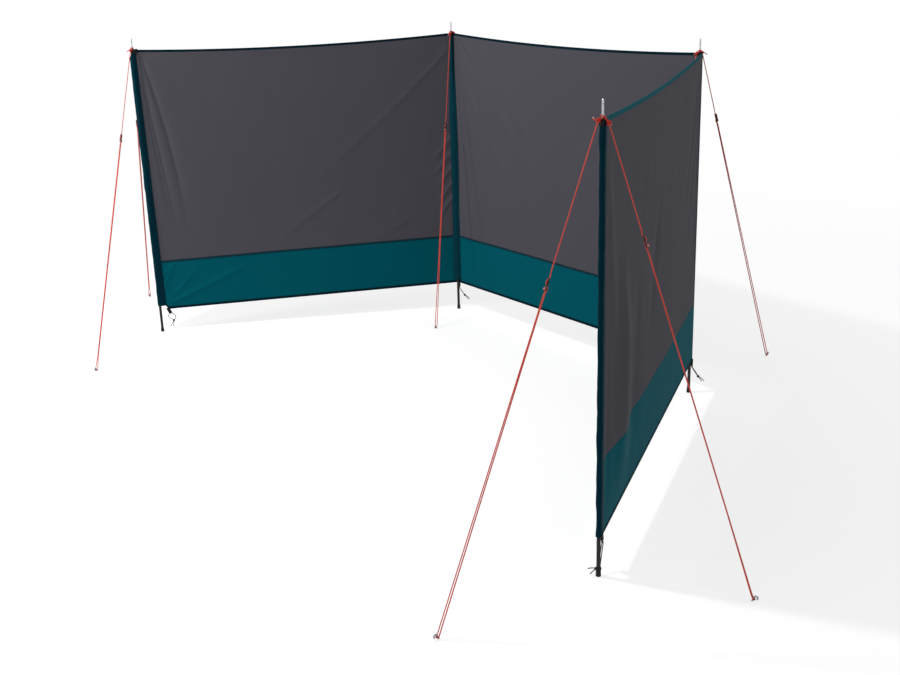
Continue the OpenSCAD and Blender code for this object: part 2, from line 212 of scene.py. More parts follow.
def rounded_line(points, radius, steps=5):
    """Straight stretches between points, with each corner rounded off."""
    points = [Vector(p) for p in points]
    line = [points[0]]
    for before, corner, after in zip(points, points[1:], points[2:]):
        back = before - corner
        on = after - corner
        start = corner + back.normalized() * min(radius, back.length * ROUNDING_SHARE)
        end = corner + on.normalized() * min(radius, on.length * ROUNDING_SHARE)
        for s in range(steps + 1):
            t = s / steps
            line.append(start * (1 - t) ** 2 + corner * 2 * t * (1 - t) + end * t * t)
    line.append(points[-1])
    return line


def line_length(line):
    return sum((b - a).length for a, b in zip(line, line[1:]))


def curve_of(name, lines, thickness, sides):
    """A round cord along each line, as a curve."""
    curve = bpy.data.curves.new(name, "CURVE")
    curve.dimensions = "3D"
    curve.bevel_depth = thickness / 2
    curve.bevel_resolution = sides // 4 - 1
    curve.use_fill_caps = True
    for line in lines:
        spline = curve.splines.new("POLY")
        spline.points.add(len(line) - 1)
        for point, place in zip(spline.points, line):
            point.co = (*place, 1)
        spline.use_smooth = True
    return curve


# Meshes

WELD = 0.001 * MM


def in_mm(points):
    return [(x * MM, y * MM) for x, y in points]


def oblong(x0, x1, y0, y1):
    """The profile of a flat band."""
    return [(x0, y0), (x1, y0), (x1, y1), (x0, y1)]


def circle_turns(count):
    return [2 * math.pi * k / count for k in range(count)]


def to_mesh(bm, name, sharp=40):
    """Closes the seams, turns the faces outwards and smooths what isn't an edge."""
    bmesh.ops.remove_doubles(bm, verts=bm.verts, dist=WELD)
    bmesh.ops.recalc_face_normals(bm, faces=bm.faces)
    mesh = bpy.data.meshes.new(name)
    bm.to_mesh(mesh)
    bm.free()
    mesh.shade_smooth()
    mesh.set_sharp_from_angle(angle=math.radians(sharp))
    return mesh


def cord_mesh(name, lines, thickness, sides=8):
    """A mesh of cords; its UV map runs along and around them in metres."""
    bm = bmesh.new()
    for line in lines:
        curve = curve_of(name, [line], thickness, sides)
        holder = bpy.data.objects.new(name, curve)
        mesh = bpy.data.meshes.new_from_object(holder)
        size = Vector((line_length(line), math.pi * thickness))
        for loop in mesh.uv_layers[0].data:
            loop.uv = (loop.uv.x * size.x, loop.uv.y * size.y)
        bm.from_mesh(mesh)
        bpy.data.objects.remove(holder)
        bpy.data.curves.remove(curve)
        bpy.data.meshes.remove(mesh)
    return to_mesh(bm, name, sharp=60)


def set_uv(bm, pick):
    """A UV map in metres, read from the place of each corner."""
    layer = bm.loops.layers.uv.verify()
    for face in bm.faces:
        for loop in face.loops:
            loop[layer].uv = pick(loop.vert.co)


def sheet_mesh(name, columns, rows, flat, place):
    """A grid of cloth: flat gives the cut's own X and Y for shares of it, and place where they hang."""
    bm = bmesh.new()
    bmesh.ops.create_grid(bm, x_segments=columns, y_segments=rows, size=0.5)
    for vert in bm.verts:
        x, y = flat(vert.co.x + 0.5, vert.co.y + 0.5)
        vert.co = (x, y, 0)
    set_uv(bm, lambda co: (co.x, co.y))
    for vert in bm.verts:
        vert.co = place(vert.co.x, vert.co.y)
    return to_mesh(bm, name, sharp=180)


def swept(bm, profile, stations):
    """Carries a closed profile through a row of matrices and caps both ends."""
    ring = [bm.verts.new(stations[0] @ Vector((x, y, 0))) for x, y in profile]
    bm.faces.new(ring)
    edges = [bm.edges.get((ring[k - 1], ring[k])) for k in range(len(ring))]
    for here, there in zip(stations, stations[1:]):
        made = bmesh.ops.extrude_edge_only(bm, edges=edges)["geom"]
        verts = [g for g in made if isinstance(g, bmesh.types.BMVert)]
        edges = [g for g in made if isinstance(g, bmesh.types.BMEdge) and g.is_boundary]
        bmesh.ops.transform(bm, matrix=there @ here.inverted(), verts=verts)
    bmesh.ops.contextual_create(bm, geom=edges)


def round_turn(bm, profile, steps, closed=False):
    """Turns a profile of radius and height round Z."""
    verts = [bm.verts.new((r, 0, z)) for r, z in profile]
    pairs = list(zip(verts, verts[1:]))
    if closed:
        pairs.append((verts[-1], verts[0]))
    edges = [bm.edges.new(pair) for pair in pairs]
    bmesh.ops.spin(bm, geom=verts + edges, axis=(0, 0, 1), cent=(0, 0, 0), angle=2 * math.pi,
                   steps=steps, use_merge=True)


def soften(bm, width, segments=2, angle=50):
    """Rounds the sharp edges of a solid."""
    bmesh.ops.recalc_face_normals(bm, faces=bm.faces)
    edges = [e for e in bm.edges if e.is_manifold and e.calc_face_angle() > math.radians(angle)]
    bmesh.ops.bevel(bm, geom=edges, offset=width, segments=segments, affect="EDGES", profile=0.5,
                    material=-1)


def raise_plate(bm, low, thickness):
    """Makes flat faces into a plate that starts at a height."""
    raised = bmesh.ops.extrude_face_region(bm, geom=bm.faces[:])["geom"]
    top = [g for g in raised if isinstance(g, bmesh.types.BMVert)]
    bmesh.ops.translate(bm, vec=(0, 0, thickness), verts=top)
    bmesh.ops.translate(bm, vec=(0, 0, low), verts=bm.verts)


def station(origin, x_axis, y_axis):
    """A matrix with its X and Y along two directions; the profile lies in them."""
    z_axis = x_axis.cross(y_axis)
    turn = Matrix((x_axis, y_axis, z_axis)).transposed().to_4x4()
    return Matrix.Translation(origin) @ turn


def piece(name, data, material, nodes=()):
    """A piece of the part, riding on its body and standing for CAD nodes."""
    obj = bpy.data.objects.new(name, data)
    data.materials.append(material)
    bpy.context.scene.collection.objects.link(obj)
    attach(obj, BODY)
    if nodes:
        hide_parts(*nodes)
    return obj


def solid(name, bm, place, material, nodes=()):
    """A piece that was made in a frame of its own, put in its place."""
    bmesh.ops.transform(bm, matrix=place, verts=bm.verts)
    piece(name, to_mesh(bm, name), material, nodes)


def thicken(obj, thickness):
    """Gives a sheet its thickness, half of it to each side."""
    solidify = obj.modifiers.new("thickness", "SOLIDIFY")
    solidify.thickness = thickness
    solidify.offset = 0


# Materials

def srgb(red, green, blue):
    """A colour of the photograph's scale, 0 to 255, as the shader takes it."""
    def linear(value):
        value /= 255
        return value / 12.92 if value <= 0.04045 else ((value + 0.055) / 1.055) ** 2.4
    return (linear(red), linear(green), linear(blue), 1)


GREY = srgb(69, 68, 74)
TEAL = srgb(0, 74, 85)
DARK_TEAL = srgb(4, 37, 48)
BINDING_TEAL = srgb(2, 74, 84)
NAVY = srgb(6, 28, 38)
# painted light: the corner sleeves are the same teal cloth as the end sleeves, painted lighter for the
# light they catch
PAINTED_LIT_CORNER_TEAL = srgb(7, 46, 56)
TAPE_TEAL = srgb(34, 54, 61)
BLACK = srgb(24, 24, 26)
# The guys and their knots are one cord: the guys' red is painted lighter than the knots' red, painted light
# that makes up for the shade the guys hang in
LIGHTENED_GUY_RED = srgb(222, 80, 66)
KNOT_RED = srgb(208, 58, 46)
SEAM_TEAL = srgb(17, 44, 53)
THREAD_TEAL = srgb(20, 62, 72)
MELTED_PINK = srgb(222, 178, 165)
# painted highlight: the stopper is tied in the red guy cord, painted pale pink
STOPPER_HIGHLIGHT_PINK = srgb(214, 140, 128)
STOPPER_RED = srgb(190, 90, 80)
ELASTIC_BLACK = srgb(22, 22, 24)
ELASTIC_GREY = srgb(45, 45, 48)
POLE_BLACK = srgb(28, 28, 30)
FOOT_BLACK = srgb(22, 22, 24)
RUNNER_BLACK = srgb(26, 20, 21)
STEEL = srgb(186, 188, 192)
PEG_GREY = srgb(160, 162, 165)
EYELET_GREY = srgb(120, 122, 126)
# How much darker the red cords are painted in the grooves between their strands: painted shade
GROOVE_SHADE = 0.6
WAVE_PERIOD = 2 * math.pi / 20  # of the bands of Blender's wave texture at scale 1
BRAID_ANGLE = 40
MIX_A = 6  # places of the colour sockets of Blender's Mix node
MIX_B = 7
MIX_RESULT = 2


def add_node(tree, kind, inputs=None, **settings):
    """A shader node; each of its inputs takes a value or the output of another node."""
    node = tree.nodes.new("ShaderNode" + kind)
    for key, value in settings.items():
        setattr(node, key, value)
    for key, value in (inputs or {}).items():
        if isinstance(value, bpy.types.NodeSocket):
            tree.links.new(value, node.inputs[key])
        else:
            node.inputs[key].default_value = value
    return node


class Finish:
    """A material with its nodes; fields are read from the piece's UV map or its own place."""

    def __init__(self, name, roughness, metallic=0.0):
        self.material = bpy.data.materials.new(name)
        self.material.use_nodes = True
        self.tree = self.material.node_tree
        self.shader = self.tree.nodes["Principled BSDF"]
        self.shader.inputs["Roughness"].default_value = roughness
        self.shader.inputs["Metallic"].default_value = metallic

    def uv(self):
        return add_node(self.tree, "UVMap", uv_map="UVMap").outputs["UV"]

    def spot(self):
        return add_node(self.tree, "TexCoord").outputs["Object"]

    def scaled(self, vector, scale):
        return add_node(self.tree, "Mapping", {"Vector": vector, "Scale": scale}).outputs["Vector"]

    def turned(self, vector, degrees):
        turn = (0, 0, math.radians(degrees))
        return add_node(self.tree, "Mapping", {"Vector": vector, "Rotation": turn}).outputs["Vector"]

    def noise(self, vector, scale, detail=3.0):
        inputs = {"Vector": vector, "Scale": scale, "Detail": detail}
        return add_node(self.tree, "TexNoise", inputs).outputs["Fac"]

    def bands(self, vector, direction, pitch):
        """A row of round ridges, one to each pitch."""
        inputs = {"Vector": vector, "Scale": WAVE_PERIOD / pitch}
        made = add_node(self.tree, "TexWave", inputs, wave_type="BANDS", bands_direction=direction)
        return made.outputs["Fac"]

    def join(self, how, a, b):
        return add_node(self.tree, "Math", {0: a, 1: b}, operation=how).outputs["Value"]

    def spread(self, field, low, high, start=0.3, end=0.7):
        """What lies from start to end in a field, brought to the range from low to high."""
        inputs = {"Value": field, "From Min": start, "From Max": end, "To Min": low, "To Max": high}
        return add_node(self.tree, "MapRange", inputs).outputs["Result"]

    def mix(self, field, a, b):
        inputs = {"Factor": field, MIX_A: a, MIX_B: b}
        return add_node(self.tree, "Mix", inputs, data_type="RGBA").outputs[MIX_RESULT]

    def colour(self, socket):
        self.tree.links.new(socket, self.shader.inputs["Base Color"])

    def rough(self, socket):
        self.tree.links.new(socket, self.shader.inputs["Roughness"])

    def gloss(self, level):
        self.shader.inputs["Specular IOR Level"].default_value = level

    def bump(self, height, strength, distance):
        inputs = {"Height": height, "Strength": strength, "Distance": distance}
        normal = add_node(self.tree, "Bump", inputs).outputs["Normal"]
        self.tree.links.new(normal, self.shader.inputs["Normal"])


def shade(colour, factor):
    """A colour made darker or lighter."""
    return tuple(min(1.0, c * factor) for c in colour[:3]) + (1,)


def cloth_finish(name, colour, pitch=1.6 * MM, roughness=0.6, gloss=0.01):
    """Plain woven polyester: crossing yarns, a soft mottle and a little gloss; the raised yarn crossings
    are painted lighter, a painted highlight.
    """
    finish = Finish(name, roughness)
    flat = finish.uv()
    weave = finish.join("MULTIPLY", finish.bands(flat, "X", pitch), finish.bands(flat, "Y", pitch))
    mottle = finish.noise(flat, scale=5.0, detail=4.0)
    slub = finish.noise(finish.scaled(flat, (40, 700, 1)), scale=1.0, detail=2.0)
    tone = finish.mix(finish.spread(mottle, 0, 1), shade(colour, 0.93), shade(colour, 1.07))
    tone = finish.mix(finish.spread(slub, 0, 0.35), tone, shade(colour, 1.18))
    # painted highlight: up to 30 % of a lighter tone where the weave stands highest
    finish.colour(finish.mix(finish.spread(weave, 0, 0.3, start=0, end=1), tone, shade(colour, 1.25)))
    finish.rough(finish.spread(mottle, roughness - 0.06, roughness + 0.06))
    finish.gloss(gloss)
    finish.bump(weave, strength=0.25, distance=0.3 * MM)
    return finish.material


def webbing_finish(name, colour):
    """Ribbed webbing, with ribs across and a finer rib along; the ribs are painted lighter on top and
    darker in the grooves, a painted highlight and painted shade.
    """
    finish = Finish(name, 0.7)
    flat = finish.uv()
    ribs = finish.join("MAXIMUM", finish.bands(flat, "X", 2.2 * MM), finish.bands(flat, "Y", 3.6 * MM))
    fuzz = finish.noise(flat, scale=900.0)
    tone = finish.spread(ribs, 0, 1, start=0.2, end=1)
    # painted highlight and shade: the colour goes from 0.7 to 1.5 times the black with the height of the
    # ribs
    finish.colour(finish.mix(tone, shade(colour, 0.7), shade(colour, 1.5)))
    finish.gloss(0.15)
    finish.bump(finish.join("ADD", ribs, fuzz), strength=0.5, distance=0.4 * MM)
    return finish.material


def braid_finish(name, colour, groove_tone, pitch=3.0 * MM):
    """Braided cord: strands that cross along its UV map, with a groove tone between them; where that tone
    is darker, as on the red cords, it is painted shade.
    """
    finish = Finish(name, 0.6)
    flat = finish.uv()
    right = finish.bands(finish.turned(flat, BRAID_ANGLE), "X", pitch)
    left = finish.bands(finish.turned(flat, -BRAID_ANGLE), "X", pitch)
    strands = finish.join("MAXIMUM", right, left)
    grain = finish.noise(flat, scale=260.0)
    tone = finish.mix(finish.spread(grain, 0, 1), shade(colour, 0.88), shade(colour, 1.1))
    # The groove tone fills the grooves and half of the strands' tops; a darker groove tone is painted shade
    # between the strands
    finish.colour(finish.mix(finish.spread(strands, 0, 0.5, start=0.1, end=0.6), groove_tone, tone))
    finish.gloss(0.2)
    finish.bump(strands, strength=0.5, distance=0.5 * MM)
    return finish.material


def paint_finish(name, colour, roughness):
    """Powder paint: a fine orange peel and slight scuffs."""
    finish = Finish(name, roughness)
    spot = finish.spot()
    peel = finish.noise(spot, scale=700.0, detail=2.0)
    scuff = finish.noise(finish.scaled(spot, (90, 90, 14)), scale=1.0, detail=5.0)
    finish.colour(finish.mix(finish.spread(scuff, 0, 1, start=0.5, end=0.8), colour, shade(colour, 1.9)))
    finish.rough(finish.spread(scuff, roughness - 0.06, roughness + 0.12))
    finish.gloss(0.2)
    finish.bump(peel, strength=0.12, distance=0.1 * MM)
    return finish.material


def metal_finish(name, colour, roughness):
    """Bare wire: drawn lines along it and a few dull patches."""
    finish = Finish(name, roughness, metallic=1.0)
    spot = finish.spot()
    drawn = finish.noise(finish.scaled(spot, (1400, 1400, 60)), scale=1.0, detail=2.0)
    dull = finish.noise(spot, scale=120.0, detail=4.0)
    finish.colour(finish.mix(finish.spread(dull, 0, 1), shade(colour, 0.75), colour))
    finish.rough(finish.spread(dull, roughness - 0.08, roughness + 0.14))
    finish.bump(drawn, strength=0.1, distance=0.05 * MM)
    return finish.material


def moulded_finish(name, colour, roughness):
    """Moulded plastic or rubber with a fine grain."""
    finish = Finish(name, roughness)
    spot = finish.spot()
    grain = finish.noise(spot, scale=1600.0, detail=2.0)
    worn = finish.noise(spot, scale=160.0, detail=4.0)
    finish.colour(finish.mix(finish.spread(worn, 0, 1), shade(colour, 0.85), shade(colour, 1.35)))
    finish.rough(finish.spread(worn, roughness - 0.05, roughness + 0.1))
    finish.gloss(0.2)
    finish.bump(grain, strength=0.2, distance=0.08 * MM)
    return finish.material


PANEL = cloth_finish("panel_cloth", GREY)
SKIRT = cloth_finish("skirt_cloth", TEAL)
SLEEVE = cloth_finish("sleeve_cloth", DARK_TEAL)
# painted light: a lighter copy of the sleeve cloth
CORNER_SLEEVE = cloth_finish("corner_sleeve_cloth_painted_lit", PAINTED_LIT_CORNER_TEAL)
END_TAPE = cloth_finish("end_tape", TAPE_TEAL)
BINDING_OUT = cloth_finish("binding_outside", BINDING_TEAL)
BINDING_IN = cloth_finish("binding_inside", NAVY)
HEM_CLOTH = cloth_finish("hem_cloth", NAVY)
SEAM_TAPE = cloth_finish("seam_tape", SEAM_TEAL)
THREAD = moulded_finish("thread", THREAD_TEAL, roughness=0.6)
WEBBING = webbing_finish("webbing", BLACK)
# The red cords and the stopper are painted darker between their strands, a painted shade; the elastic's
# grey groove tone is lighter than its black
GUY_CORD = braid_finish("guy_cord", LIGHTENED_GUY_RED, shade(LIGHTENED_GUY_RED, GROOVE_SHADE))
KNOT_CORD = braid_finish("knot_cord", KNOT_RED, shade(KNOT_RED, GROOVE_SHADE))
CORD_END = moulded_finish("cord_end", MELTED_PINK, roughness=0.5)
STOPPER = braid_finish("stopper", STOPPER_HIGHLIGHT_PINK, STOPPER_RED)
ELASTIC = braid_finish("elastic", ELASTIC_BLACK, ELASTIC_GREY, pitch=2.0 * MM)
POLE_PAINT = paint_finish("pole_paint", POLE_BLACK, roughness=0.45)
SPIKE_STEEL = metal_finish("spike_steel", STEEL, roughness=0.35)
PEG_STEEL = metal_finish("peg_steel", PEG_GREY, roughness=0.4)
EYELET_METAL = metal_finish("eyelet_metal", EYELET_GREY, roughness=0.4)
FOOT_PLASTIC = moulded_finish("foot_plastic", FOOT_BLACK, roughness=0.6)
RUNNER_PLASTIC = moulded_finish("runner_plastic", RUNNER_BLACK, roughness=0.45)


# Elastic loops, which hang from the lower tabs. The points of their strands and knots are in millimetres
# from the lower end of the tab

ELASTIC_D = 3.4 * MM
ELASTIC_SIDES = 12
ELASTIC_KNOT = 11 * MM
ELASTIC_GAP = 2 * FIT + TAB_LENGTH
END_STRANDS = [
    [(-5, 0, 0), (-13, 0, -7), (-16, 0, -15), (-8, 1, -27), (11, 2.2, -41), (4, 3, -55), (-10, 4, -74)],
    [(5, 0, 2), (15, 0, -5), (23, 0, -17), (23, -1, -28), (13, -2.2, -41), (10, -4, -56), (7, -5, -72)],
]
END_KNOT = (12, 0, -41)
END_KNOT_WAY = (0.1, 0, -1)
CORNER_STRANDS = [
    [(0, 4, 0), (4, 6, -9), (12, 6.5, -22), (22, 4.5, -38), (31, 2.2, -52), (42, 5, -66), (53, 7, -82)],
    [(0, -4, 0), (5, -6, -9), (14, -6.5, -22), (24, -4.5, -38), (33, -2.2, -52), (47, -3, -62),
     (60, -4, -76)],
]
CORNER_KNOT = (32, 0, -52)
CORNER_KNOT_WAY = (0.6, 0, -0.8)
CORNER_ASIDE = {1: -math.pi / 3, 2: 0.0}  # how far a corner's strands hang to one side
KNOT_STEPS = 48
KNOT_DEPTH = 0.55


def overhand(centre, size, along, thickness):
    """The round line of an overhand knot, with its long way along a direction."""
    turn = Vector(along).to_track_quat("Z", "X").to_matrix()
    line = []
    for k in range(KNOT_STEPS + 1):
        a = 2 * math.pi * k / KNOT_STEPS
        x = math.sin(a) + 2 * math.sin(2 * a)
        y = math.cos(a) - 2 * math.cos(2 * a)
        local = Vector((x * size / 6, math.sin(3 * a) * thickness * KNOT_DEPTH, y * size / 6))
        line.append(Vector(centre) + turn @ local)
    return line


def elastic_loop(pole, place, strands, knot_at, knot_way):
    """Two strands of elastic from a tab, knotted together above their bare ends."""
    node = pole + "_elastic"
    centre = place @ (Vector(knot_at) * MM)
    along = place.to_3x3() @ Vector(knot_way)
    knot_line = overhand(centre, ELASTIC_KNOT, along, ELASTIC_D)
    knot = piece(node + "_knot", cord_mesh("knot", [knot_line], ELASTIC_D), ELASTIC)
    for k, strand in enumerate(strands):
        line = smooth_line([place @ (Vector(p) * MM) for p in strand], steps=3)
        curve = curve_of(node, [line], ELASTIC_D, ELASTIC_SIDES)
        cord = piece(f"{node}_strand_{k + 1}", curve, ELASTIC, [node])
        line_length(line)


def make_elastic():
    """The loops of the left end and of both corners."""
    end = BAYS[0].place @ Matrix.Translation((TAB_X, 0, END_HEM - ELASTIC_GAP))
    elastic_loop("left_end", end, END_STRANDS, END_KNOT, END_KNOT_WAY)
    for i, aside in CORNER_ASIDE.items():
        corner = corner_place(i) @ Matrix.Translation((CORNER_OFF, 0, HEM - ELASTIC_GAP))
        turn = Matrix.Rotation(aside, 3, "Z")
        strands = [[start] + [turn @ Vector(p) for p in rest] for start, *rest in CORNER_STRANDS]
        knot_way = turn @ Vector(CORNER_KNOT_WAY)
        elastic_loop(POLE_NAMES[i], corner, strands, turn @ Vector(CORNER_KNOT), knot_way)


make_elastic()


# Folds of the cloth. Each one runs from a start to an end, given as X along the bay and height,
# with how far it bows, its width and its height to the outside, all in metres.
# Creases are sharp and start at once; swells are soft

CREASES = {
    "left": [
        ((0.030, 1.540), (0.205, 0.43), -0.032, 0.026, 0.0075),
        ((0.028, 1.40), (0.150, 0.42), -0.008, 0.022, 0.0062),
        ((0.040, 1.24), (0.118, 0.54), 0.0, 0.016, 0.0030),
        ((0.032, 1.52), (0.068, 1.12), 0.0, 0.014, 0.0030),
        ((1.660, 1.47), (0.80, 0.72), -0.02, 0.028, -0.0028),
        ((1.04, 0.73), (0.60, 0.42), 0.0, 0.028, -0.0034),
        ((1.40, 0.54), (1.15, 0.41), 0.0, 0.022, -0.0020),
        ((1.662, 1.000), (1.535, 0.840), 0.0, 0.020, -0.0042),
        ((1.662, 0.915), (1.535, 0.760), 0.0, 0.020, -0.0046),
        ((1.662, 0.835), (1.545, 0.680), 0.0, 0.020, -0.0046),
        ((1.662, 0.750), (1.550, 0.595), 0.0, 0.020, -0.0046),
        ((1.662, 0.668), (1.560, 0.525), 0.0, 0.020, -0.0042),
        ((0.036, 0.150), (0.60, 0.39), 0.0, 0.022, -0.0060),
        ((0.036, 0.160), (0.26, 0.38), 0.0, 0.016, -0.0036),
        ((0.032, 0.325), (0.13, 0.405), 0.0, 0.014, -0.0040),
        ((0.032, 0.250), (0.10, 0.385), 0.0, 0.012, -0.0034),
    ],
    "middle": [
        ((0.022, 1.535), (0.27, 1.26), 0.0, 0.020, 0.0048),
        ((0.025, 1.500), (0.50, 0.70), 0.02, 0.030, 0.0040),
        ((0.850, 0.375), (1.15, 0.335), 0.0, 0.018, -0.0030),
        ((0.020, 0.160), (0.34, 0.39), 0.0, 0.018, -0.0024),
    ],
    "right": [
        ((0.030, 1.51), (0.42, 0.80), 0.02, 0.030, -0.0030),
        ((0.020, 1.36), (0.30, 0.62), 0.0, 0.026, -0.0024),
    ],
}
SWELLS = {
    "left": [],
    "middle": [
        ((0.12, 1.42), (0.80, 0.66), 0.0, 0.034, -0.0050),
        ((0.30, 1.36), (0.88, 0.72), 0.0, 0.032, -0.0042),
        ((0.06, 1.32), (0.55, 0.62), 0.0, 0.030, -0.0042),
        ((1.12, 1.17), (0.93, 0.96), 0.0, 0.040, -0.0040),
        ((1.64, 1.51), (1.22, 0.92), 0.0, 0.032, -0.0030),
    ],
    "right": [
        ((1.60, 1.50), (1.46, 0.62), 0.0, 0.050, 0.005),
        ((1.375, 1.10), (1.375, 0.10), 0.0, 0.105, 0.022),
        ((1.575, 0.90), (1.565, 0.15), 0.0, 0.034, -0.004),
        ((1.16, 1.00), (1.19, 0.15), 0.0, 0.075, -0.006),
        ((0.80, 1.15), (0.98, 0.55), 0.0, 0.050, -0.006),
    ],
}
TOP_BINDING = 15 * MM
BILLOW = 6 * MM
# Ripples: their height, what X and Z count for in the noise's X and in its Y, how far each bay shifts
# the noise's X and its depth, and its depth
RIPPLES = [
    (2.5 * MM, (3.1, 0), (0, 2.3), (7, 0), 0.5),
    (1 * MM, (11, 5), (-3, 6), (0, 1), 3.5),
    (0.3 * MM, (34, -9), (12, 27), (0, 1), 9.5),
]
SIDE_HOLD = 10 * MM  # over this much the cloth comes away from its held sides and edges
EDGE_HOLD = 30 * MM
FOLD_NARROW = 0.5  # a fold's width at its start, as a share of its width at the end
CREASE_REACH = 5  # to each side, in shares of its width
CREASE_START = 0.06  # shares of its run over which it rises and dies away
CREASE_FADE = 0.55
CREASE_GAIN = 1.45
CREASE_SHARPNESS = 1.6
CREASE_ROUND = 0.06
SWELL_REACH = 3
SWELL_FADE = 0.4


def soft_step(value, width):
    """A step from 0 to 1 over a width, with soft ends."""
    share = min(max(value / width, 0), 1)
    return share * share * (3 - 2 * share)


def along_fold(x, z, fold):
    """The share of a fold's run at a place, and the distance across it in shares of its width there."""
    (x0, z0), (x1, z1), bow, width, _ = fold
    run = Vector((x1 - x0, z1 - z0))
    away = Vector((x - x0, z - z0))
    share = away.dot(run) / run.length_squared
    across = (run.x * away.y - run.y * away.x) / run.length + bow * 4 * share * (1 - share)
    return share, across / (width * (FOLD_NARROW + (1 - FOLD_NARROW) * share))


def crease_rise(x, z, fold):
    """How far a crease stands out at a place."""
    share, across = along_fold(x, z, fold)
    if not 0 < share < 1 or abs(across) > CREASE_REACH:
        return 0.0
    ramp = soft_step(share, CREASE_START) * soft_step(1 - share, CREASE_FADE)
    side = math.exp(-CREASE_SHARPNESS * math.sqrt(across ** 2 + CREASE_ROUND))
    return fold[-1] * ramp * CREASE_GAIN * side


def swell_rise(x, z, fold):
    """How far a swell stands out at a place."""
    share, across = along_fold(x, z, fold)
    if not 0 < share < 1 or abs(across) > SWELL_REACH:
        return 0.0
    ramp = soft_step(share, SWELL_FADE) * soft_step(1 - share, SWELL_FADE)
    return fold[-1] * ramp * math.exp(-across ** 2)


def cloth_rise(bay, x, z):
    """How far the cloth stands to the outside of its flat plane."""
    hold = soft_step(x - bay.first, SIDE_HOLD) * soft_step(bay.last - x, SIDE_HOLD)
    hold *= soft_step(bay.top(x) - TOP_BINDING - z, EDGE_HOLD)
    hold *= soft_step(z - bay.hem(x) - HEM_BAND, EDGE_HOLD)
    if hold == 0:
        return 0.0
    share = (x - bay.first) / (bay.last - bay.first)
    level = (z - bay.hem(x)) / (TOP - bay.hem(x))
    rise = BILLOW * math.sin(math.pi * share) * math.sin(math.pi * level)
    for height, (xx, xz), (yx, yz), (aside, deeper), depth in RIPPLES:
        spot = (x * xx + z * xz + aside * bay.index, x * yx + z * yz, deeper * bay.index + depth)
        rise += height * noise.noise(Vector(spot))
    rise += sum(crease_rise(x, z, fold) for fold in CREASES[bay.name])
    rise += sum(swell_rise(x, z, fold) for fold in SWELLS[bay.name])
    return rise * hold


# Cloth

CLOTH = 0.8 * MM
PANEL_COLUMNS = 240
CROWDING = 0.65
PANEL_ROWS = 128
SKIRT_ROWS = 32
TUCK = 4 * MM


def hung(bay, name, rows, low, high):
    """A grid of cloth between two heights of a bay, with its folds."""
    def flat(u, v):
        crowded = u - CROWDING * math.sin(2 * math.pi * u) / (2 * math.pi)
        x = bay.first + (bay.last - bay.first) * crowded
        return x, low(x) + (high(x) - low(x)) * v

    def place(x, z):
        return bay.at(x, cloth_rise(bay, x, z), z)

    return sheet_mesh(name, PANEL_COLUMNS, rows, flat, place)


def holders(bay):
    """The sleeves on both sides of a bay."""
    return [POLE_NAMES[bay.index] + "_sleeve", POLE_NAMES[bay.index + 1] + "_sleeve"]


def make_panel(bay):
    """The grey upper cloth of a bay, hung between its poles."""
    name = bay.name + "_panel"
    mesh = hung(bay, name, PANEL_ROWS, bay.seam, lambda x: bay.top(x) - TUCK)
    cloth = piece(name + "_cloth", mesh, PANEL, [name])
    thicken(cloth, CLOTH)
    low = (bay.seam(bay.first) + bay.seam(bay.last)) / 2
    holders(bay)


def make_skirt(bay, trim):
    """The teal skirt below the seam."""
    name = bay.name + "_skirt"
    mesh = hung(bay, name, SKIRT_ROWS, lambda x: bay.low(x) + TUCK, bay.seam)
    cloth = piece(name + "_cloth", mesh, SKIRT, [name])
    thicken(cloth, CLOTH)
    holders(bay)


# Edges of the cloth

EDGE_STEPS = 90
TOP_PROFILE = [(-1.3, -11), (-1.7, -2.4), (-0.9, -0.3), (0.9, -0.3), (1.7, -2.4), (1.3, -15)]
SEAM_PROFILE = [(-0.6, -5), (-0.6, 5), (0.2, 5.4), (0.2, -5.4)]
HEM_PROFILE = [(-1.3, 14), (-1.6, 2.4), (-0.8, 0.2), (0.8, 0.2), (1.6, 2.4), (1.3, 14)]
CORNER_PROFILE = [(-1.8, -3.4), (0.4, -3.4), (1.2, -1.6), (1.2, 1.6), (0.4, 3.4), (-1.8, 3.4)]
SEAM_LIFT = 1.0 * MM
INSIDE_FACING = -0.3  # faces that look further inwards than this show the binding's dark side
CORNER_STEPS = 40
CORNER_CUT = 1 * MM
TAPE_WIDTH = 30 * MM
TAPE_LIFT = 1.1 * MM
TAPE_THICK = 0.8 * MM
TAPE_COLUMNS = 8


def edge_band(bay, profile, y_of, z_of):
    """A band along a bay, with its profile's X to the outside and its Y up."""
    out = bay.place.to_3x3() @ Vector((0, 1, 0))
    stations = []
    places = [bay.first + (bay.last - bay.first) * k / EDGE_STEPS for k in range(EDGE_STEPS + 1)]
    if bay.index == 0:
        places += [END_CUT, TAB_EDGE]
    if bay.index == 2:
        places += [bay.run - END_CUT, bay.run - TAB_EDGE]
    for x in sorted(places):
        stations.append(station(bay.at(x, y_of(x), z_of(x)), out, UP))
    bm = bmesh.new()
    swept(bm, in_mm(profile), stations)
    back = bay.place.inverted()
    set_uv(bm, lambda co: ((back @ co).x, co.z))
    return bm


def make_top_binding(bay):
    """Tape folded over the top edge, with its bright side to the outside."""
    name = bay.name + "_top_binding"
    mesh = to_mesh(edge_band(bay, TOP_PROFILE, lambda x: 0, bay.top), name)
    tape = piece(name + "_tape", mesh, BINDING_IN, [name])
    mesh.materials.append(BINDING_OUT)
    out = bay.place.to_3x3() @ Vector((0, 1, 0))
    for face in mesh.polygons:
        face.material_index = 1 if face.normal.dot(out) > INSIDE_FACING else 0
    return tape


def seam_rise(bay, x):
    """How far the cloth stands out at the seam."""
    return cloth_rise(bay, x, bay.seam(x))


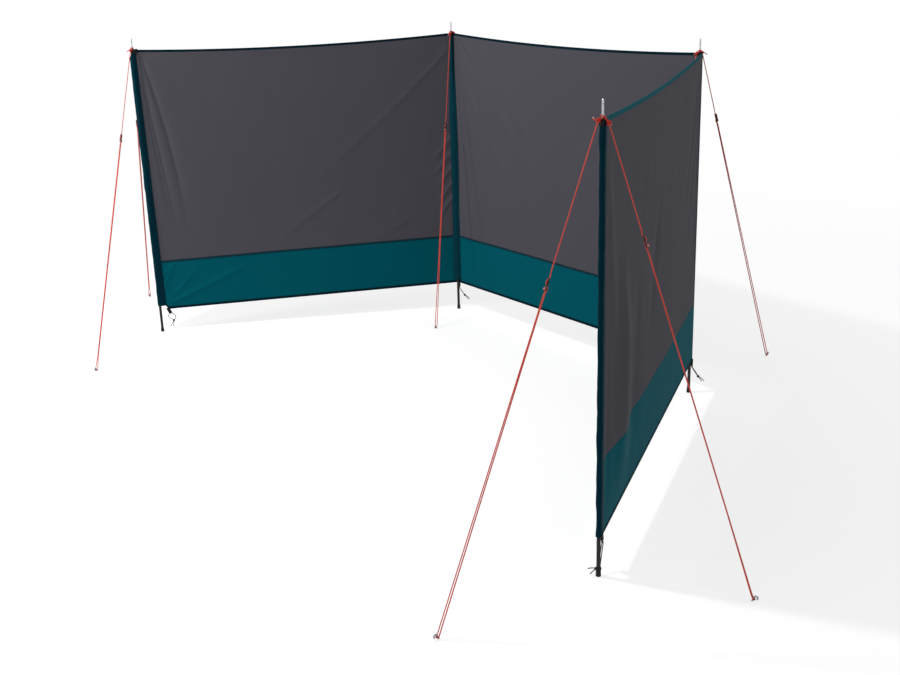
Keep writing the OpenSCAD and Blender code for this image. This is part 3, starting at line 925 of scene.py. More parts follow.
def make_seam_tape(bay):
    """The dark tape on the inside of the seam between panel and skirt."""
    name = bay.name + "_seam_tape"
    bm = edge_band(bay, SEAM_PROFILE, lambda x: seam_rise(bay, x) - SEAM_LIFT, bay.seam)
    return piece(name, to_mesh(bm, name), SEAM_TAPE)


def make_lower_hem(bay):
    """The turned-up hem; it rises on the slant to the end of an end sleeve."""
    name = bay.name + "_lower_hem"
    bm = edge_band(bay, HEM_PROFILE, lambda x: 0, bay.low)
    return piece(name + "_fold", to_mesh(bm, name), HEM_CLOTH, [name])


def make_corner_edge(i):
    """The seam on the outside of a corner, from the hem to the top."""
    name = POLE_NAMES[i] + "_edge"
    place = corner_place(i) @ Matrix.Translation((CORNER_OFF, 0, 0))
    heights = [HEM + (TOP - CORNER_CUT - HEM) * k / CORNER_STEPS for k in range(CORNER_STEPS + 1)]
    bm = bmesh.new()
    swept(bm, in_mm(CORNER_PROFILE), [place @ Matrix.Translation((0, 0, z)) for z in heights])
    back = place.inverted()
    set_uv(bm, lambda co: ((back @ co).y, co.z))
    piece(name, to_mesh(bm, name), SLEEVE)


def make_end_tape(bay):
    """The tape on the outside of an end bay, beside its sleeve; the middle bay has none."""
    if bay.index == 1:
        return []
    pole = "left_end" if bay.index == 0 else "right_end"

    def flat(u, v):
        x = sewn_line(pole, END_HEM + (TOP - END_HEM) * v) + TAPE_WIDTH * u
        x = x if bay.index == 0 else bay.run - x
        low = bay.low(x) + HEM_BAND
        return x, low + (bay.top(x) - TOP_BINDING - low) * v

    def place(x, z):
        return bay.at(x, cloth_rise(bay, x, z) + TAPE_LIFT, z)

    name = bay.name + "_end_tape"
    mesh = sheet_mesh(name, TAPE_COLUMNS, PANEL_ROWS, flat, place)
    tape = piece(name, mesh, END_TAPE)
    thicken(tape, TAPE_THICK)
    return [tape]


for i in CORNERS:
    make_corner_edge(i)


# Sleeves

SLEEVE_R = POLE_R + 1.2 * MM
END_SLEEVE_R = POLE_R + 2.4 * MM
FOLD_TOP = {"left_end": 17 * MM, "right_end": 10 * MM}  # from the axis to a sleeve's outer fold
FOLD_LOW = 10 * MM
SLEEVE_CLOTH = 0.7 * MM
SLEEVE_FIT = 0.8 * MM
CORNER_SLEEVE_TOP = TOP - 17 * MM
END_SLEEVE_DROP = {"left_end": 45 * MM, "right_end": 29 * MM}
SLANT_START = -17 * MM  # an end sleeve's upper edge rises from here, over this much
SLANT_RUN = 30 * MM
FLAP_LAP = 3 * MM  # a flap's edge lies past its sewn line, and off the cloth's middle
FLAP_SIT = 2.0 * MM
CORNER_FLAP = 24 * MM
CORNER_FLAP_TOP = 0.5  # a corner flap's width at its top, as a share of the width lower down
CORNER_WIDE_FROM = TOP - 34 * MM  # it widens below this height, over this much
CORNER_WIDE_OVER = 0.4
CORNER_INSET = 1.1 * MM
SLEEVE_COLUMNS = 36
SLEEVE_ROWS = 150
PUCKER = 2.2 * MM
PUCKER_SCALE = Vector((45, 22, 60))  # round the sleeve, along it and on the slant
PUCKER_START = 12 * MM  # from a sewn edge to full puckers


class Wrap:
    """The line of a sleeve's cloth, from its sewn edge round a pole to an outer fold and back."""

    def __init__(self, edge, radius, fold=0.0):
        fold = max(fold, radius)
        self.edge = Vector(edge)
        self.radius = radius
        self.touch = math.atan2(edge[1], edge[0]) + math.acos(radius / self.edge.length)
        self.flap = math.sqrt(self.edge.length_squared - radius ** 2)
        self.arc = radius * (math.pi - math.acos(radius / fold) - self.touch)
        self.length = 2 * (self.flap + self.arc + math.sqrt(fold ** 2 - radius ** 2))

    def at(self, s):
        """The point at a distance along the line, and the way that faces away from the pole."""
        if s > self.length / 2:
            point, out = self.at(self.length - s)
            return Vector((point.x, -point.y)), Vector((out.x, -out.y))
        turn = self.touch + min(max(s - self.flap, 0), self.arc) / self.radius
        out = Vector((math.cos(turn), math.sin(turn)))
        if s < self.flap:
            return self.edge.lerp(self.radius * out, s / self.flap), out
        past = max(s - self.flap - self.arc, 0)
        return self.radius * out + past * Vector((-out.y, out.x)), out


def pucker(s, z, seed):
    """Small creases of a sleeve."""
    across, along, slant = PUCKER_SCALE
    return PUCKER * noise.noise(Vector((s * across, z * along + s * slant, seed)))


def sleeve(name, place, finish, low, radius, fold_at, edge_at, top_at):
    """A sleeve; its outer fold and sewn edge are functions of height, and its upper end one of X."""
    widest = Wrap(edge_at(low), radius, fold_at(low))

    def flat(u, v):
        s = widest.length * u
        top = top_at(widest.at(s)[0].x)
        return s, low + (top - low) * v

    def hang(s, z):
        wrap = Wrap(edge_at(z), radius, fold_at(z))
        at = s / widest.length * wrap.length
        point, out = wrap.at(at)
        free = soft_step(min(at, wrap.length - at), PUCKER_START)
        rise = pucker(s, z, place.translation.x) * free
        point = point + out * max(rise, POLE_R + SLEEVE_FIT - radius)
        return place @ Vector((point.x, point.y, z))

    mesh = sheet_mesh(name, SLEEVE_COLUMNS, SLEEVE_ROWS, flat, hang)
    cloth = piece(name + "_cloth", mesh, finish, [name])
    thicken(cloth, SLEEVE_CLOTH)
    heights = [flat((k + 0.5) / SLEEVE_COLUMNS, 1)[1] - low for k in range(SLEEVE_COLUMNS)]


# Frames of the end poles: X points along the bay, with the origin on the axis
END_FRAMES = {
    "left_end": BAYS[0].place,
    "right_end": BAYS[2].place @ Matrix.Translation((BAYS[2].run, 0, 0)) @ Matrix.Rotation(math.pi, 4, "Z"),
}


def make_sleeves():
    """The sleeves of the end poles, then those of the corner poles."""
    def corner_edge(z):
        share = soft_step(CORNER_WIDE_FROM - z, CORNER_WIDE_OVER)
        wide = CORNER_FLAP * (CORNER_FLAP_TOP + (1 - CORNER_FLAP_TOP) * share)
        inner = (CLOTH_OFF - CORNER_INSET) / math.cos(HALF_TURN)
        return (inner - wide * math.sin(HALF_TURN), wide * math.cos(HALF_TURN))

    for pole, place in END_FRAMES.items():
        drop = END_SLEEVE_DROP[pole]

        def end_top(x):
            return TOP - TUCK - (drop - TUCK) * (1 - soft_step(x - SLANT_START, SLANT_RUN))

        def end_edge(z):
            return (sewn_line(pole, z) + FLAP_LAP, FLAP_SIT)

        def end_fold(z):
            return by_height(FOLD_TOP[pole], FOLD_LOW, z)

        sleeve(pole + "_sleeve", place, SLEEVE, END_HEM + SLEEVE_GAP, END_SLEEVE_R,
               end_fold, end_edge, end_top)
    for i in CORNERS:
        sleeve(POLE_NAMES[i] + "_sleeve", corner_place(i), CORNER_SLEEVE, HEM + SLEEVE_GAP, SLEEVE_R,
               lambda z: SLEEVE_R, corner_edge, lambda x: CORNER_SLEEVE_TOP)


make_sleeves()


# Stitches

STITCH_PITCH = 6 * MM
STITCH_LENGTH = 2.1 * MM  # all sizes of a stitch are halves
STITCH_THICK = 0.45 * MM
STITCH_MARGIN = 4 * MM
BAND_DEPTH = 1.65 * MM
SEAM_DEPTH = 1.3 * MM
SLEEVE_DEPTH = FLAP_SIT + 1 * MM
TOP_ROW = 8.5 * MM  # below the top edge
HEM_ROW = 11.5 * MM  # above the lower edge
SEAM_ROWS = 3 * MM  # above and below the seam
SEAM_ROW_IN = 0.55 * MM
END_ROW = 2 * MM  # beside an end sleeve's sewn line
END_ROW_STOP = TOP - 24 * MM
CORNER_ROW = 3 * MM  # within a corner flap's edge
CORNER_ROW_IN = 0.6 * MM
CORNER_ROW_STOP = TOP - 0.45


def stitch_mesh(name, places):
    """One small stitch at each place, with its X along the row and its Y through the cloth."""
    seed = bmesh.new()
    bmesh.ops.create_icosphere(seed, subdivisions=1, radius=1)
    template = bpy.data.meshes.new("stitch")
    seed.to_mesh(template)
    seed.free()
    bm = bmesh.new()
    for place in places:
        one = template.copy()
        one.transform(place)
        bm.from_mesh(one)
        bpy.data.meshes.remove(one)
    bpy.data.meshes.remove(template)
    return to_mesh(bm, name, sharp=80)


def row(start, end, place_of):
    """Places a stitch pitch apart; place_of gives the matrix at a distance."""
    count = int((end - start) / STITCH_PITCH)
    return [place_of(start + (k + 0.5) * STITCH_PITCH) for k in range(count)]


def sized(half_depth):
    """A stitch's size, with half its depth through the cloth."""
    return Matrix.Diagonal((STITCH_LENGTH, half_depth, STITCH_THICK, 1))


def make_bay_stitches(bay):
    """Rows along the top edge and the hem, and one on each side of the seam."""
    spin = bay.place.to_3x3().to_4x4()

    def line(y_of, z_of, half_depth):
        def stitch(x):
            return Matrix.Translation(bay.at(x, y_of(x), z_of(x))) @ spin @ sized(half_depth)

        return row(bay.first + STITCH_MARGIN, bay.last - STITCH_MARGIN, stitch)

    places = line(lambda x: 0, lambda x: bay.top(x) - TOP_ROW, BAND_DEPTH)
    places += line(lambda x: 0, lambda x: bay.low(x) + HEM_ROW, BAND_DEPTH)
    for aside in (-SEAM_ROWS, SEAM_ROWS):
        places += line(lambda x: seam_rise(bay, x) - SEAM_ROW_IN,
                       lambda x: bay.seam(x) + aside, SEAM_DEPTH)
    name = bay.name + "_bay_stitches"
    return piece(name, stitch_mesh(name, places), THREAD)


def make_sleeve_stitches():
    """A row along each end sleeve's sewn line, and one along each flap of a corner sleeve."""
    upright = Matrix.Rotation(-math.pi / 2, 4, "Y")
    for pole, place in END_FRAMES.items():
        def end_stitch(z):
            spot = Matrix.Translation((sewn_line(pole, z) + END_ROW, 0, z))
            return place @ spot @ upright @ sized(SLEEVE_DEPTH)

        places = row(END_HEM + SLEEVE_GAP, END_ROW_STOP, end_stitch)
        name = pole + "_sleeve_stitches"
        piece(name, stitch_mesh(name, places), THREAD)
    aside = CORNER_FLAP + CORNER_OFF * math.sin(HALF_TURN) - CORNER_ROW
    facing = Matrix.Rotation(math.pi / 2, 4, "Z") @ upright
    for i in CORNERS:
        places = []
        for side in (-1, 1):
            def corner_stitch(z):
                turn = Matrix.Rotation(side * HALF_TURN, 4, "Z")
                spot = Matrix.Translation((CLOTH_OFF - CORNER_ROW_IN, side * aside, z))
                return corner_place(i) @ turn @ spot @ facing @ sized(SEAM_DEPTH)

            places += row(HEM + SLEEVE_GAP, CORNER_ROW_STOP, corner_stitch)
        name = POLE_NAMES[i] + "_sleeve_stitches"
        piece(name, stitch_mesh(name, places), THREAD)


for bay in BAYS:
    trim = [make_top_binding(bay), make_seam_tape(bay), make_bay_stitches(bay)] + make_end_tape(bay)
    make_panel(bay)
    make_skirt(bay, [make_lower_hem(bay)])
make_sleeve_stitches()


# Webbing: straps over the tops of the poles and tabs at the lower corners

STRAP_LOW = TOP + FIT
STRAP_THICK = 2.0 * MM
STRAP_HALF = 9 * MM
STRAP_REACH = 27 * MM
STRAP_ROUND = 0.5 * MM
STRAP_HOLE = 4.4 * MM
CORNER_STRAP_R = 10.5 * MM
LOOP_STEPS = 32
EYELET_OUT = 1.6 * MM  # from the hole's edge to the middle of the ring
EYELET_HALF = 1.5 * MM
EYELET_RISE = 0.7 * MM
EYELET_LIFT = 0.3 * MM
EYELET_SIDES = 8
STRAP_FLAP_R = POLE_R + FIT
STRAP_FLAP_THICK = 1.4 * MM
STRAP_FLAP_TUCK = 2 * MM
STRAP_FLAP_ROUND = 0.3 * MM
STRAP_FLAP_FROM = 60  # degrees round the pole, where the flap starts and how far it goes
STRAP_FLAP_TURN = 240
STRAP_FLAP_STEPS = 32
CORNER_STRAP_LOW = CORNER_SLEEVE_TOP + 1 * MM
PATCH_HEIGHT = 21 * MM
PATCH_FRONT = 25 * MM
PATCH_BACK = -2 * MM
PATCH_THICK = 1.2 * MM
PATCH_SIT = FLAP_SIT + 1.6 * MM
PATCH_R = END_SLEEVE_R + 1.2 * MM
PATCH_STEPS = 16
TAB_HALF = 9 * MM
TAB_WEB = 1.2 * MM
TAB_FOLD = 1.5 * MM
TAB_FOLD_STEPS = 8
TAB_LAP = 10 * MM
TAB_SIDE = 2.4 * MM
TAB_NECK = 2.2 * MM
TAB_NECK_DROP = 2 * MM
TAB_LEAN = math.radians(-24)


def ring_plate(bm, outline, hole_r, low, thickness):
    """A plate between an outline and a round hole, with as many points in each."""
    inner = bmesh.ops.create_circle(bm, radius=hole_r, segments=len(outline))["verts"]
    loop = [bm.verts.new((x, y, 0)) for x, y in outline]
    edges = [bm.edges.new((loop[k - 1], loop[k])) for k in range(len(loop))]
    edges += list({edge for vert in inner for edge in vert.link_edges})
    bmesh.ops.bridge_loops(bm, edges=edges)
    raise_plate(bm, low, thickness)


def tongue_outline():
    """A strap's outline: round over the pole and straight to its sewn end."""
    quarter = LOOP_STEPS // 4
    nose = [math.pi / 2 + math.pi * k / (2 * quarter) for k in range(2 * quarter + 1)]
    points = [(STRAP_HALF * math.cos(a), STRAP_HALF * math.sin(a)) for a in nose]
    straight = [STRAP_REACH * k / (quarter - 1) for k in range(1, quarter)]
    points += [(x, -STRAP_HALF) for x in straight]
    points += [(STRAP_REACH, 0)]
    points += [(x, STRAP_HALF) for x in reversed(straight)]
    return points


def round_outline():
    """The outline of a corner's strap."""
    turns = circle_turns(LOOP_STEPS)
    return [(CORNER_STRAP_R * math.cos(a), CORNER_STRAP_R * math.sin(a)) for a in turns]


def make_eyelet(pole, place):
    """The metal ring round a strap's hole."""
    radius = STRAP_HOLE + EYELET_OUT
    turns = circle_turns(EYELET_SIDES)
    bm = bmesh.new()
    profile = [(radius + EYELET_HALF * math.cos(a), EYELET_RISE * math.sin(a)) for a in turns]
    round_turn(bm, profile, LOOP_STEPS, closed=True)
    bmesh.ops.translate(bm, vec=(0, 0, STRAP_LOW + STRAP_THICK + EYELET_LIFT), verts=bm.verts)
    solid(pole + "_eyelet", bm, place, EYELET_METAL)


def make_strap(pole, place, outline, flap_low):
    """The strap over the top of a pole, with its flap and its eyelet."""
    bm = bmesh.new()
    ring_plate(bm, outline, STRAP_HOLE, STRAP_LOW, STRAP_THICK)
    soften(bm, STRAP_ROUND)
    set_uv(bm, lambda co: (co.x, co.y))
    solid(pole + "_strap", bm, place, WEBBING, ["top_straps"])
    make_flap(pole, place, flap_low)
    make_eyelet(pole, place)


def make_flap(pole, place, low):
    """The strap's flap, which goes round the top of the pole down to the sleeve."""
    profile = oblong(0, STRAP_FLAP_THICK, 0, STRAP_LOW - low)
    stations = []
    for k in range(STRAP_FLAP_STEPS + 1):
        turn = math.radians(STRAP_FLAP_FROM + STRAP_FLAP_TURN * k / STRAP_FLAP_STEPS)
        out = Vector((math.cos(turn), math.sin(turn), 0))
        stations.append(station(out * STRAP_FLAP_R + UP * low, out, UP))
    bm = bmesh.new()
    swept(bm, profile, stations)
    soften(bm, STRAP_FLAP_ROUND)
    set_uv(bm, lambda co: (co.z, STRAP_FLAP_R * math.atan2(co.y, -co.x)))
    solid(pole + "_strap_flap", bm, place, WEBBING)


def make_side_patches(pole, place):
    """The ends of an end strap, sewn to both sides of the sleeve's top."""
    wrap = Wrap((PATCH_FRONT, PATCH_SIT), PATCH_R)
    half = PATCH_THICK / 2
    profile = oblong(-half, half, 0, PATCH_HEIGHT)
    reach = wrap.flap + wrap.radius * (math.acos(PATCH_BACK / wrap.radius) - wrap.touch)
    bm = bmesh.new()
    for side in (1, -1):
        stations = []
        for k in range(PATCH_STEPS + 1):
            point, out = wrap.at(reach * k / PATCH_STEPS)
            spot = Vector((point.x, side * point.y, TOP - PATCH_HEIGHT))
            stations.append(station(spot, Vector((out.x, side * out.y, 0)), UP))
        swept(bm, profile, stations)
    soften(bm, STRAP_FLAP_ROUND)
    set_uv(bm, lambda co: (co.x, co.z))
    solid(pole + "_strap_ends", bm, place, WEBBING)


def make_tab(pole, place):
    """A tab of webbing folded round into a loop below the hem; its ends lie on both sides of the hem."""
    drop = TAB_FOLD + TAB_WEB / 2 - TAB_LENGTH - FIT
    turns = [math.pi * k / TAB_FOLD_STEPS for k in range(TAB_FOLD_STEPS + 1)]
    line = [Vector((0, TAB_SIDE, TAB_LAP)), Vector((0, TAB_NECK, -TAB_NECK_DROP))]
    line += [Vector((0, TAB_FOLD * math.cos(a), drop - TAB_FOLD * math.sin(a))) for a in turns]
    line += [Vector((0, -TAB_NECK, -TAB_NECK_DROP)), Vector((0, -TAB_SIDE, TAB_LAP))]
    stations = []
    for k, point in enumerate(line):
        ahead = line[min(k + 1, len(line) - 1)] - line[max(k - 1, 0)]
        across = Vector((1, 0, 0))
        stations.append(station(point, across, ahead.normalized().cross(across)))
    bm = bmesh.new()
    half = TAB_WEB / 2
    swept(bm, oblong(-TAB_HALF, TAB_HALF, -half, half), stations)
    set_uv(bm, lambda co: (co.z, co.x))
    solid(pole + "_tab", bm, place, WEBBING, ["lower_tabs"])


def make_webbing():
    """The straps and tabs of the end poles, then those of the corners."""
    for pole, place in END_FRAMES.items():
        make_strap(pole, place, tongue_outline(), TOP - END_SLEEVE_DROP[pole] - STRAP_FLAP_TUCK)
        make_side_patches(pole, place)
        lower_end = Matrix.Translation((TAB_X, 0, END_HEM - TAB_LENGTH))
        lean = lower_end @ Matrix.Rotation(TAB_LEAN, 4, "Y") @ Matrix.Translation((0, 0, TAB_LENGTH))
        make_tab(pole, place @ lean)
    for i in CORNERS:
        make_strap(POLE_NAMES[i], corner_place(i), round_outline(), CORNER_STRAP_LOW)
        spot = corner_place(i) @ Matrix.Translation((CORNER_OFF, 0, HEM))
        make_tab(POLE_NAMES[i], spot @ Matrix.Rotation(math.pi / 2, 4, "Z"))


make_webbing()


# Feet

FOOT_PROFILE = [
    (0, 0), (7.6, 0), (8.8, 0.5), (9.25, 1.6), (9.25, 5.6), (8.9, 6.6), (8.6, 7.6), (8.6, 9.4), (8.9, 10),
    (8.9, 12), (8.6, 12.6), (8.6, 14.4), (8.9, 15), (8.9, 17), (8.6, 17.6), (8.6, 20.4), (8.2, 21.6),
    (7.6, 22), (7.25, 21.5), (7.25, 8), (0, 8),
]
FOOT_STEPS = 40


def make_foot(pole, axis):
    """A moulded cap with a flared sole and three ribs."""
    bm = bmesh.new()
    round_turn(bm, in_mm(FOOT_PROFILE), FOOT_STEPS)
    bmesh.ops.translate(bm, vec=axis, verts=bm.verts)
    name = pole + "_foot"
    piece(name + "_cap", to_mesh(bm, name, sharp=50), FOOT_PLASTIC, [name])


for pole, axis in zip(POLE_NAMES, AXES):
    make_foot(pole, axis)


# Guys. Each one: its pole, its direction in degrees, and in millimetres its reach, how far down it
# its runner and its knot are, how far above the peg its strands part, and how far the knot's tail
# goes across it and up

GUYS = {
    "left_front": (0, -58, 617, 472, 15, 60, -17, -6),
    "left_back": (0, 161, 675, 459, 15, 60, 17, -6),
    "left_inside": (1, -60, 353, 506, 15, 450, -8, -6),
    "left_outside": (1, 86, 635, 330, 15, 1270, 8, -6),
    "right_inside": (2, -120, 353, 506, 15, 450, -17, -6),
    "right_outside": (2, 94, 635, 330, 15, 1270, -19, -7),
    "right_front": (3, -96, 638, 527, 18, 1080, -17, 5),
    "right_back": (3, 32, 501, 402, 27, 300, 12, -6),
}
GUY_D = 4 * MM
GUY_START = 10.45 * MM  # a guy's line starts this far from the pole's axis, at this height
GUY_TOP = 1554.7 * MM
LOOP_HEIGHT = 7 * MM  # of the cord's loop round a peg
PEG_LOOP_R = 5.56 * MM
PEG_SIDE = 6 * MM  # the strands widen to the loop this far before the peg and above the loop
PEG_RISE = 15 * MM
PEG_TURN_STEPS = 8
CORD_ROUND = 4 * MM
RUNNER_WIDTH = 12 * MM
RUNNER_THICK = 3.4 * MM
RUNNER_ROUND = 0.7 * MM
RUNNER_WELD = 0.01 * MM
RUNNER_NOSE = 0.12
HOLE_PITCH = 14 * MM
HOLE_R = 2.3 * MM
PLATE = 1.6 * MM  # from the cord's line up to the middle of the runner
FRONT = 5.4 * MM  # height of the cord over the runner and under it
BACK = -2.2 * MM
SPREAD = 2.1 * MM  # half the distance between the two lower strands
RUNNER_NEAR = 36 * MM  # above the runner's middle, where the cord leaves its straight line
RUNNER_START = 22 * MM  # above it, where the cord goes under the runner
RUNNER_END = 30 * MM  # below it, where both strands are back on the line
TINY = 1e-6
STOPPER_D = 3.4 * MM
STOPPER_SIZE = 7 * MM
STOPPER_DEPTH = 3 * MM
STOPPER_TAIL = [(0, 0, 0), (1, 2, 2), (2.5, 4, 2.5)]  # millimetres down, across and up


class Guy:
    """The straight line of a guy: S runs down it, A across it and F to its upper face."""

    def __init__(self, name):
        pole, turn, reach, runner, knot, parting, tail, lift = GUYS[name]
        self.name = name
        self.pole = pole
        turn = math.radians(turn)
        self.way = Vector((math.cos(turn), math.sin(turn), 0))
        self.peg = AXES[pole] + self.way * reach * MM
        self.top = AXES[pole] + self.way * GUY_START + UP * GUY_TOP
        self.end = self.peg + UP * LOOP_HEIGHT
        self.runner = runner * MM
        self.knot = knot * MM
        self.parting = parting * MM
        self.tail = tail * MM
        self.lift = lift * MM
        self.length = (self.end - self.top).length
        self.down = (self.end - self.top) / self.length
        self.across = UP.cross(self.way)
        self.face = self.down.cross(self.across)

    def at(self, s, a=0.0, f=0.0):
        return self.top + self.down * s + self.across * a + self.face * f

    def by_peg(self, x, y, z):
        return self.peg + self.way * x + self.across * y + UP * z

    def runner_place(self):
        """X across the runner, Y down it and Z to its upper face."""
        turn = Matrix((-self.across, self.down, self.face)).transposed().to_4x4()
        return Matrix.Translation(self.at(self.runner, 0, PLATE)) @ turn


def guy_line(guy):
    """One cord: from its knot up and down through the runner, round the peg and back to the third hole."""
    r = guy.runner
    part = guy.length - guy.parting
    line = [guy.at(guy.knot), guy.at(r - RUNNER_NEAR), guy.at(r - RUNNER_START, 0, BACK)]
    line += [guy.at(r - HOLE_PITCH, 0, BACK), guy.at(r - HOLE_PITCH, 0, FRONT)]
    line += [guy.at(r, 0, FRONT), guy.at(r, 0, BACK), guy.at(r + HOLE_PITCH, 2 * SPREAD, BACK)]
    line += [guy.at(r + RUNNER_END, SPREAD, 0), guy.at(part, SPREAD, 0)]
    line += [guy.by_peg(-PEG_SIDE, PEG_LOOP_R, LOOP_HEIGHT + PEG_RISE)]
    bow = [math.pi / 2 - math.pi * k / PEG_TURN_STEPS for k in range(PEG_TURN_STEPS + 1)]
    line += [guy.by_peg(PEG_LOOP_R * math.cos(a), PEG_LOOP_R * math.sin(a), LOOP_HEIGHT) for a in bow]
    line += [guy.by_peg(-PEG_SIDE, -PEG_LOOP_R, LOOP_HEIGHT + PEG_RISE)]
    line += [guy.at(part, -SPREAD, 0), guy.at(r + RUNNER_END, -SPREAD, 0)]
    line += [guy.at(r + HOLE_PITCH, 0, BACK), guy.at(r + HOLE_PITCH, 0, FRONT)]
    return rounded_line(line, CORD_ROUND)


def make_stopper(guy):
    """The knot that holds the cord's end at the runner's last hole; its pale pink is the red cord painted
    lighter, a painted highlight.
    """
    hole = guy.runner + HOLE_PITCH
    tail = [guy.at(hole + s * MM, a * MM, FRONT + f * MM) for s, a, f in STOPPER_TAIL]
    lines = [overhand(tail[0], STOPPER_SIZE, guy.across, STOPPER_DEPTH), smooth_line(tail, steps=3)]
    name = guy.name + "_guy_stopper"
    piece(name, cord_mesh(name, lines, STOPPER_D), STOPPER)


def make_guy(guy):
    """The cord of a guy."""
    name = guy.name + "_guy"
    piece(name + "_cord", cord_mesh(name, [guy_line(guy)], GUY_D), GUY_CORD, [name])


def hole_cell(bm, centre, half_height, round_end):
    """A cell of a runner: a plate with a hole; round_end is 1 or -1 for a round end, or 0 for none."""
    turns = circle_turns(LOOP_STEPS)
    half = RUNNER_WIDTH / 2
    outline = []
    for a in turns:
        c, s = math.cos(a), math.sin(a)
        scale = min(half / max(abs(c), TINY), half_height / max(abs(s), TINY))
        if round_end * s > 0:
            scale = min(scale, half * (1 + RUNNER_NOSE * abs(s)))
        outline.append((c * scale, centre + s * scale))
    inner = [bm.verts.new((HOLE_R * math.cos(a), centre + HOLE_R * math.sin(a), 0)) for a in turns]
    outer = [bm.verts.new((x, y, 0)) for x, y in outline]
    edges = [bm.edges.new((ring[k - 1], ring[k])) for ring in (inner, outer) for k in range(LOOP_STEPS)]
    bmesh.ops.bridge_loops(bm, edges=edges)


def make_runner(guy):
    """A flat runner with three holes and rounded edges."""
    bm = bmesh.new()
    for k in (-1, 0, 1):
        hole_cell(bm, k * HOLE_PITCH, HOLE_PITCH / 2, k)
    bmesh.ops.remove_doubles(bm, verts=bm.verts, dist=RUNNER_WELD)
    raise_plate(bm, -RUNNER_THICK / 2, RUNNER_THICK)
    soften(bm, RUNNER_ROUND)
    name = guy.name + "_runner"
    solid(name, bm, guy.runner_place(), RUNNER_PLASTIC, ["guy_runners"])


# Knots. The sides of a noose: away from the pole and across in millimetres, and the share of its rise.
# A knot's tail: shares of how far it goes across, millimetres outwards, and shares of its lift

NOOSE_R = 6.3 * MM
NOOSE_LOW = TOP + 5.5 * MM
NOOSE_PITCH = 4 * MM
NOOSE_SIDE = [(13.0, 2.6, 1 / 3), (7.0, 5.6, 2 / 3)]
NOOSE_BACK = [math.pi * k / 6 for k in (3, 4, 5)]
KNOT_SIZE = 15 * MM
SECOND_KNOT = 0.8 * KNOT_SIZE
KNOT_TAIL = [(0, 0, 0), (0.5, 4, 0.1), (0.8, 5, 0.5), (1, 4, 1)]
MELTED = [(0, -0.6), (2.1, -0.4), (2.4, 0.7), (2.2, 2.2), (1.3, 3.2), (0, 3.5)]
MELTED_STEPS = 12


def noose(guy, level):
    """The loop of a guy round its spike, from its knot up to the spike and back."""
    z = NOOSE_LOW + level * NOOSE_PITCH
    knot = guy.at(guy.knot)
    foot = AXES[guy.pole]
    r = NOOSE_R
    half = [(x * MM, y * MM, knot.z + (z - knot.z) * share) for x, y, share in NOOSE_SIDE]
    half += [(r * math.cos(a), r * math.sin(a), z) for a in NOOSE_BACK]
    turn = half + [(-r, 0, z)] + [(x, -y, h) for x, y, h in reversed(half)]
    points = [foot + guy.way * x + guy.across * y + UP * h for x, y, h in turn]
    return smooth_line([knot] + points + [knot], steps=3)


def melted_end(bm, line):
    """The bead on a cord's end, where it was cut with heat."""
    bead = bmesh.new()
    round_turn(bead, in_mm(MELTED), MELTED_STEPS)
    turn = (line[-1] - line[-2]).to_track_quat("Z", "X").to_matrix().to_4x4()
    bmesh.ops.transform(bead, matrix=Matrix.Translation(line[-1]) @ turn, verts=bead.verts)
    mesh = bpy.data.meshes.new("bead")
    bead.to_mesh(mesh)
    bead.free()
    bm.from_mesh(mesh)
    bpy.data.meshes.remove(mesh)


def make_knot(pole):
    """Both guys of a pole tied to its spike, each with a noose, a double knot and a tail."""
    lines = []
    ends = bmesh.new()
    for level, guy in enumerate(g for g in ALL_GUYS if g.pole == pole):
        knot = guy.at(guy.knot)
        side = guy.across * guy.tail
        lift = UP * guy.lift
        points = [knot + side * a + guy.way * w * MM + lift * u for a, w, u in KNOT_TAIL]
        tail = smooth_line(points, steps=4)
        lines += [noose(guy, level), overhand(knot, KNOT_SIZE, guy.down, GUY_D), tail]
        lines += [overhand(knot, SECOND_KNOT, guy.across, GUY_D)]
        melted_end(ends, tail)
    name = POLE_NAMES[pole] + "_guy_knot"
    piece(name + "_ends", to_mesh(ends, name), CORD_END)
    piece(name, cord_mesh(name, lines, GUY_D), KNOT_CORD, ["guy_knots"])


ALL_GUYS = [Guy(name) for name in GUYS]
for guy in ALL_GUYS:
    make_guy(guy)
    make_stopper(guy)
    make_runner(guy)
for pole in range(len(POLE_NAMES)):
    make_knot(pole)


# The elastic of the right end, tied round the foot of its pole

TIE_Z = FOOT_TOP + 4.7 * MM
TIE_R = POLE_R + FIT + ELASTIC_D / 2
TIE_PITCH = 1.05 * ELASTIC_D
TIE_START = 2.2 * MM  # half the distance between the strands at the tab
TIE_NEAR = Vector((4, 2.6, 5)) * MM  # where a strand bends to go round the pole
TIE_TURNS = [math.pi * n / 12 for n in range(2, 25)]
TIE_TAILS = [(96, 10), (126, 34)]  # direction round the pole and fall of each tail, in degrees
TIE_TAIL = 27 * MM
TIE_TAIL_RISE = 1 * MM
TIE_TAIL_BOW = 1.5 * MM
TIE_KNOT = 9 * MM
TIE_KNOT_TURN = math.radians(114)
TIE_KNOT_OUT = 1.5 * MM
TIE_KNOT_RISE = 1.5 * MM


def round_pole(radius, turn, z):
    """The point at a radius and a direction from the pole's axis."""
    return Vector((radius * math.cos(turn), radius * math.sin(turn), z))


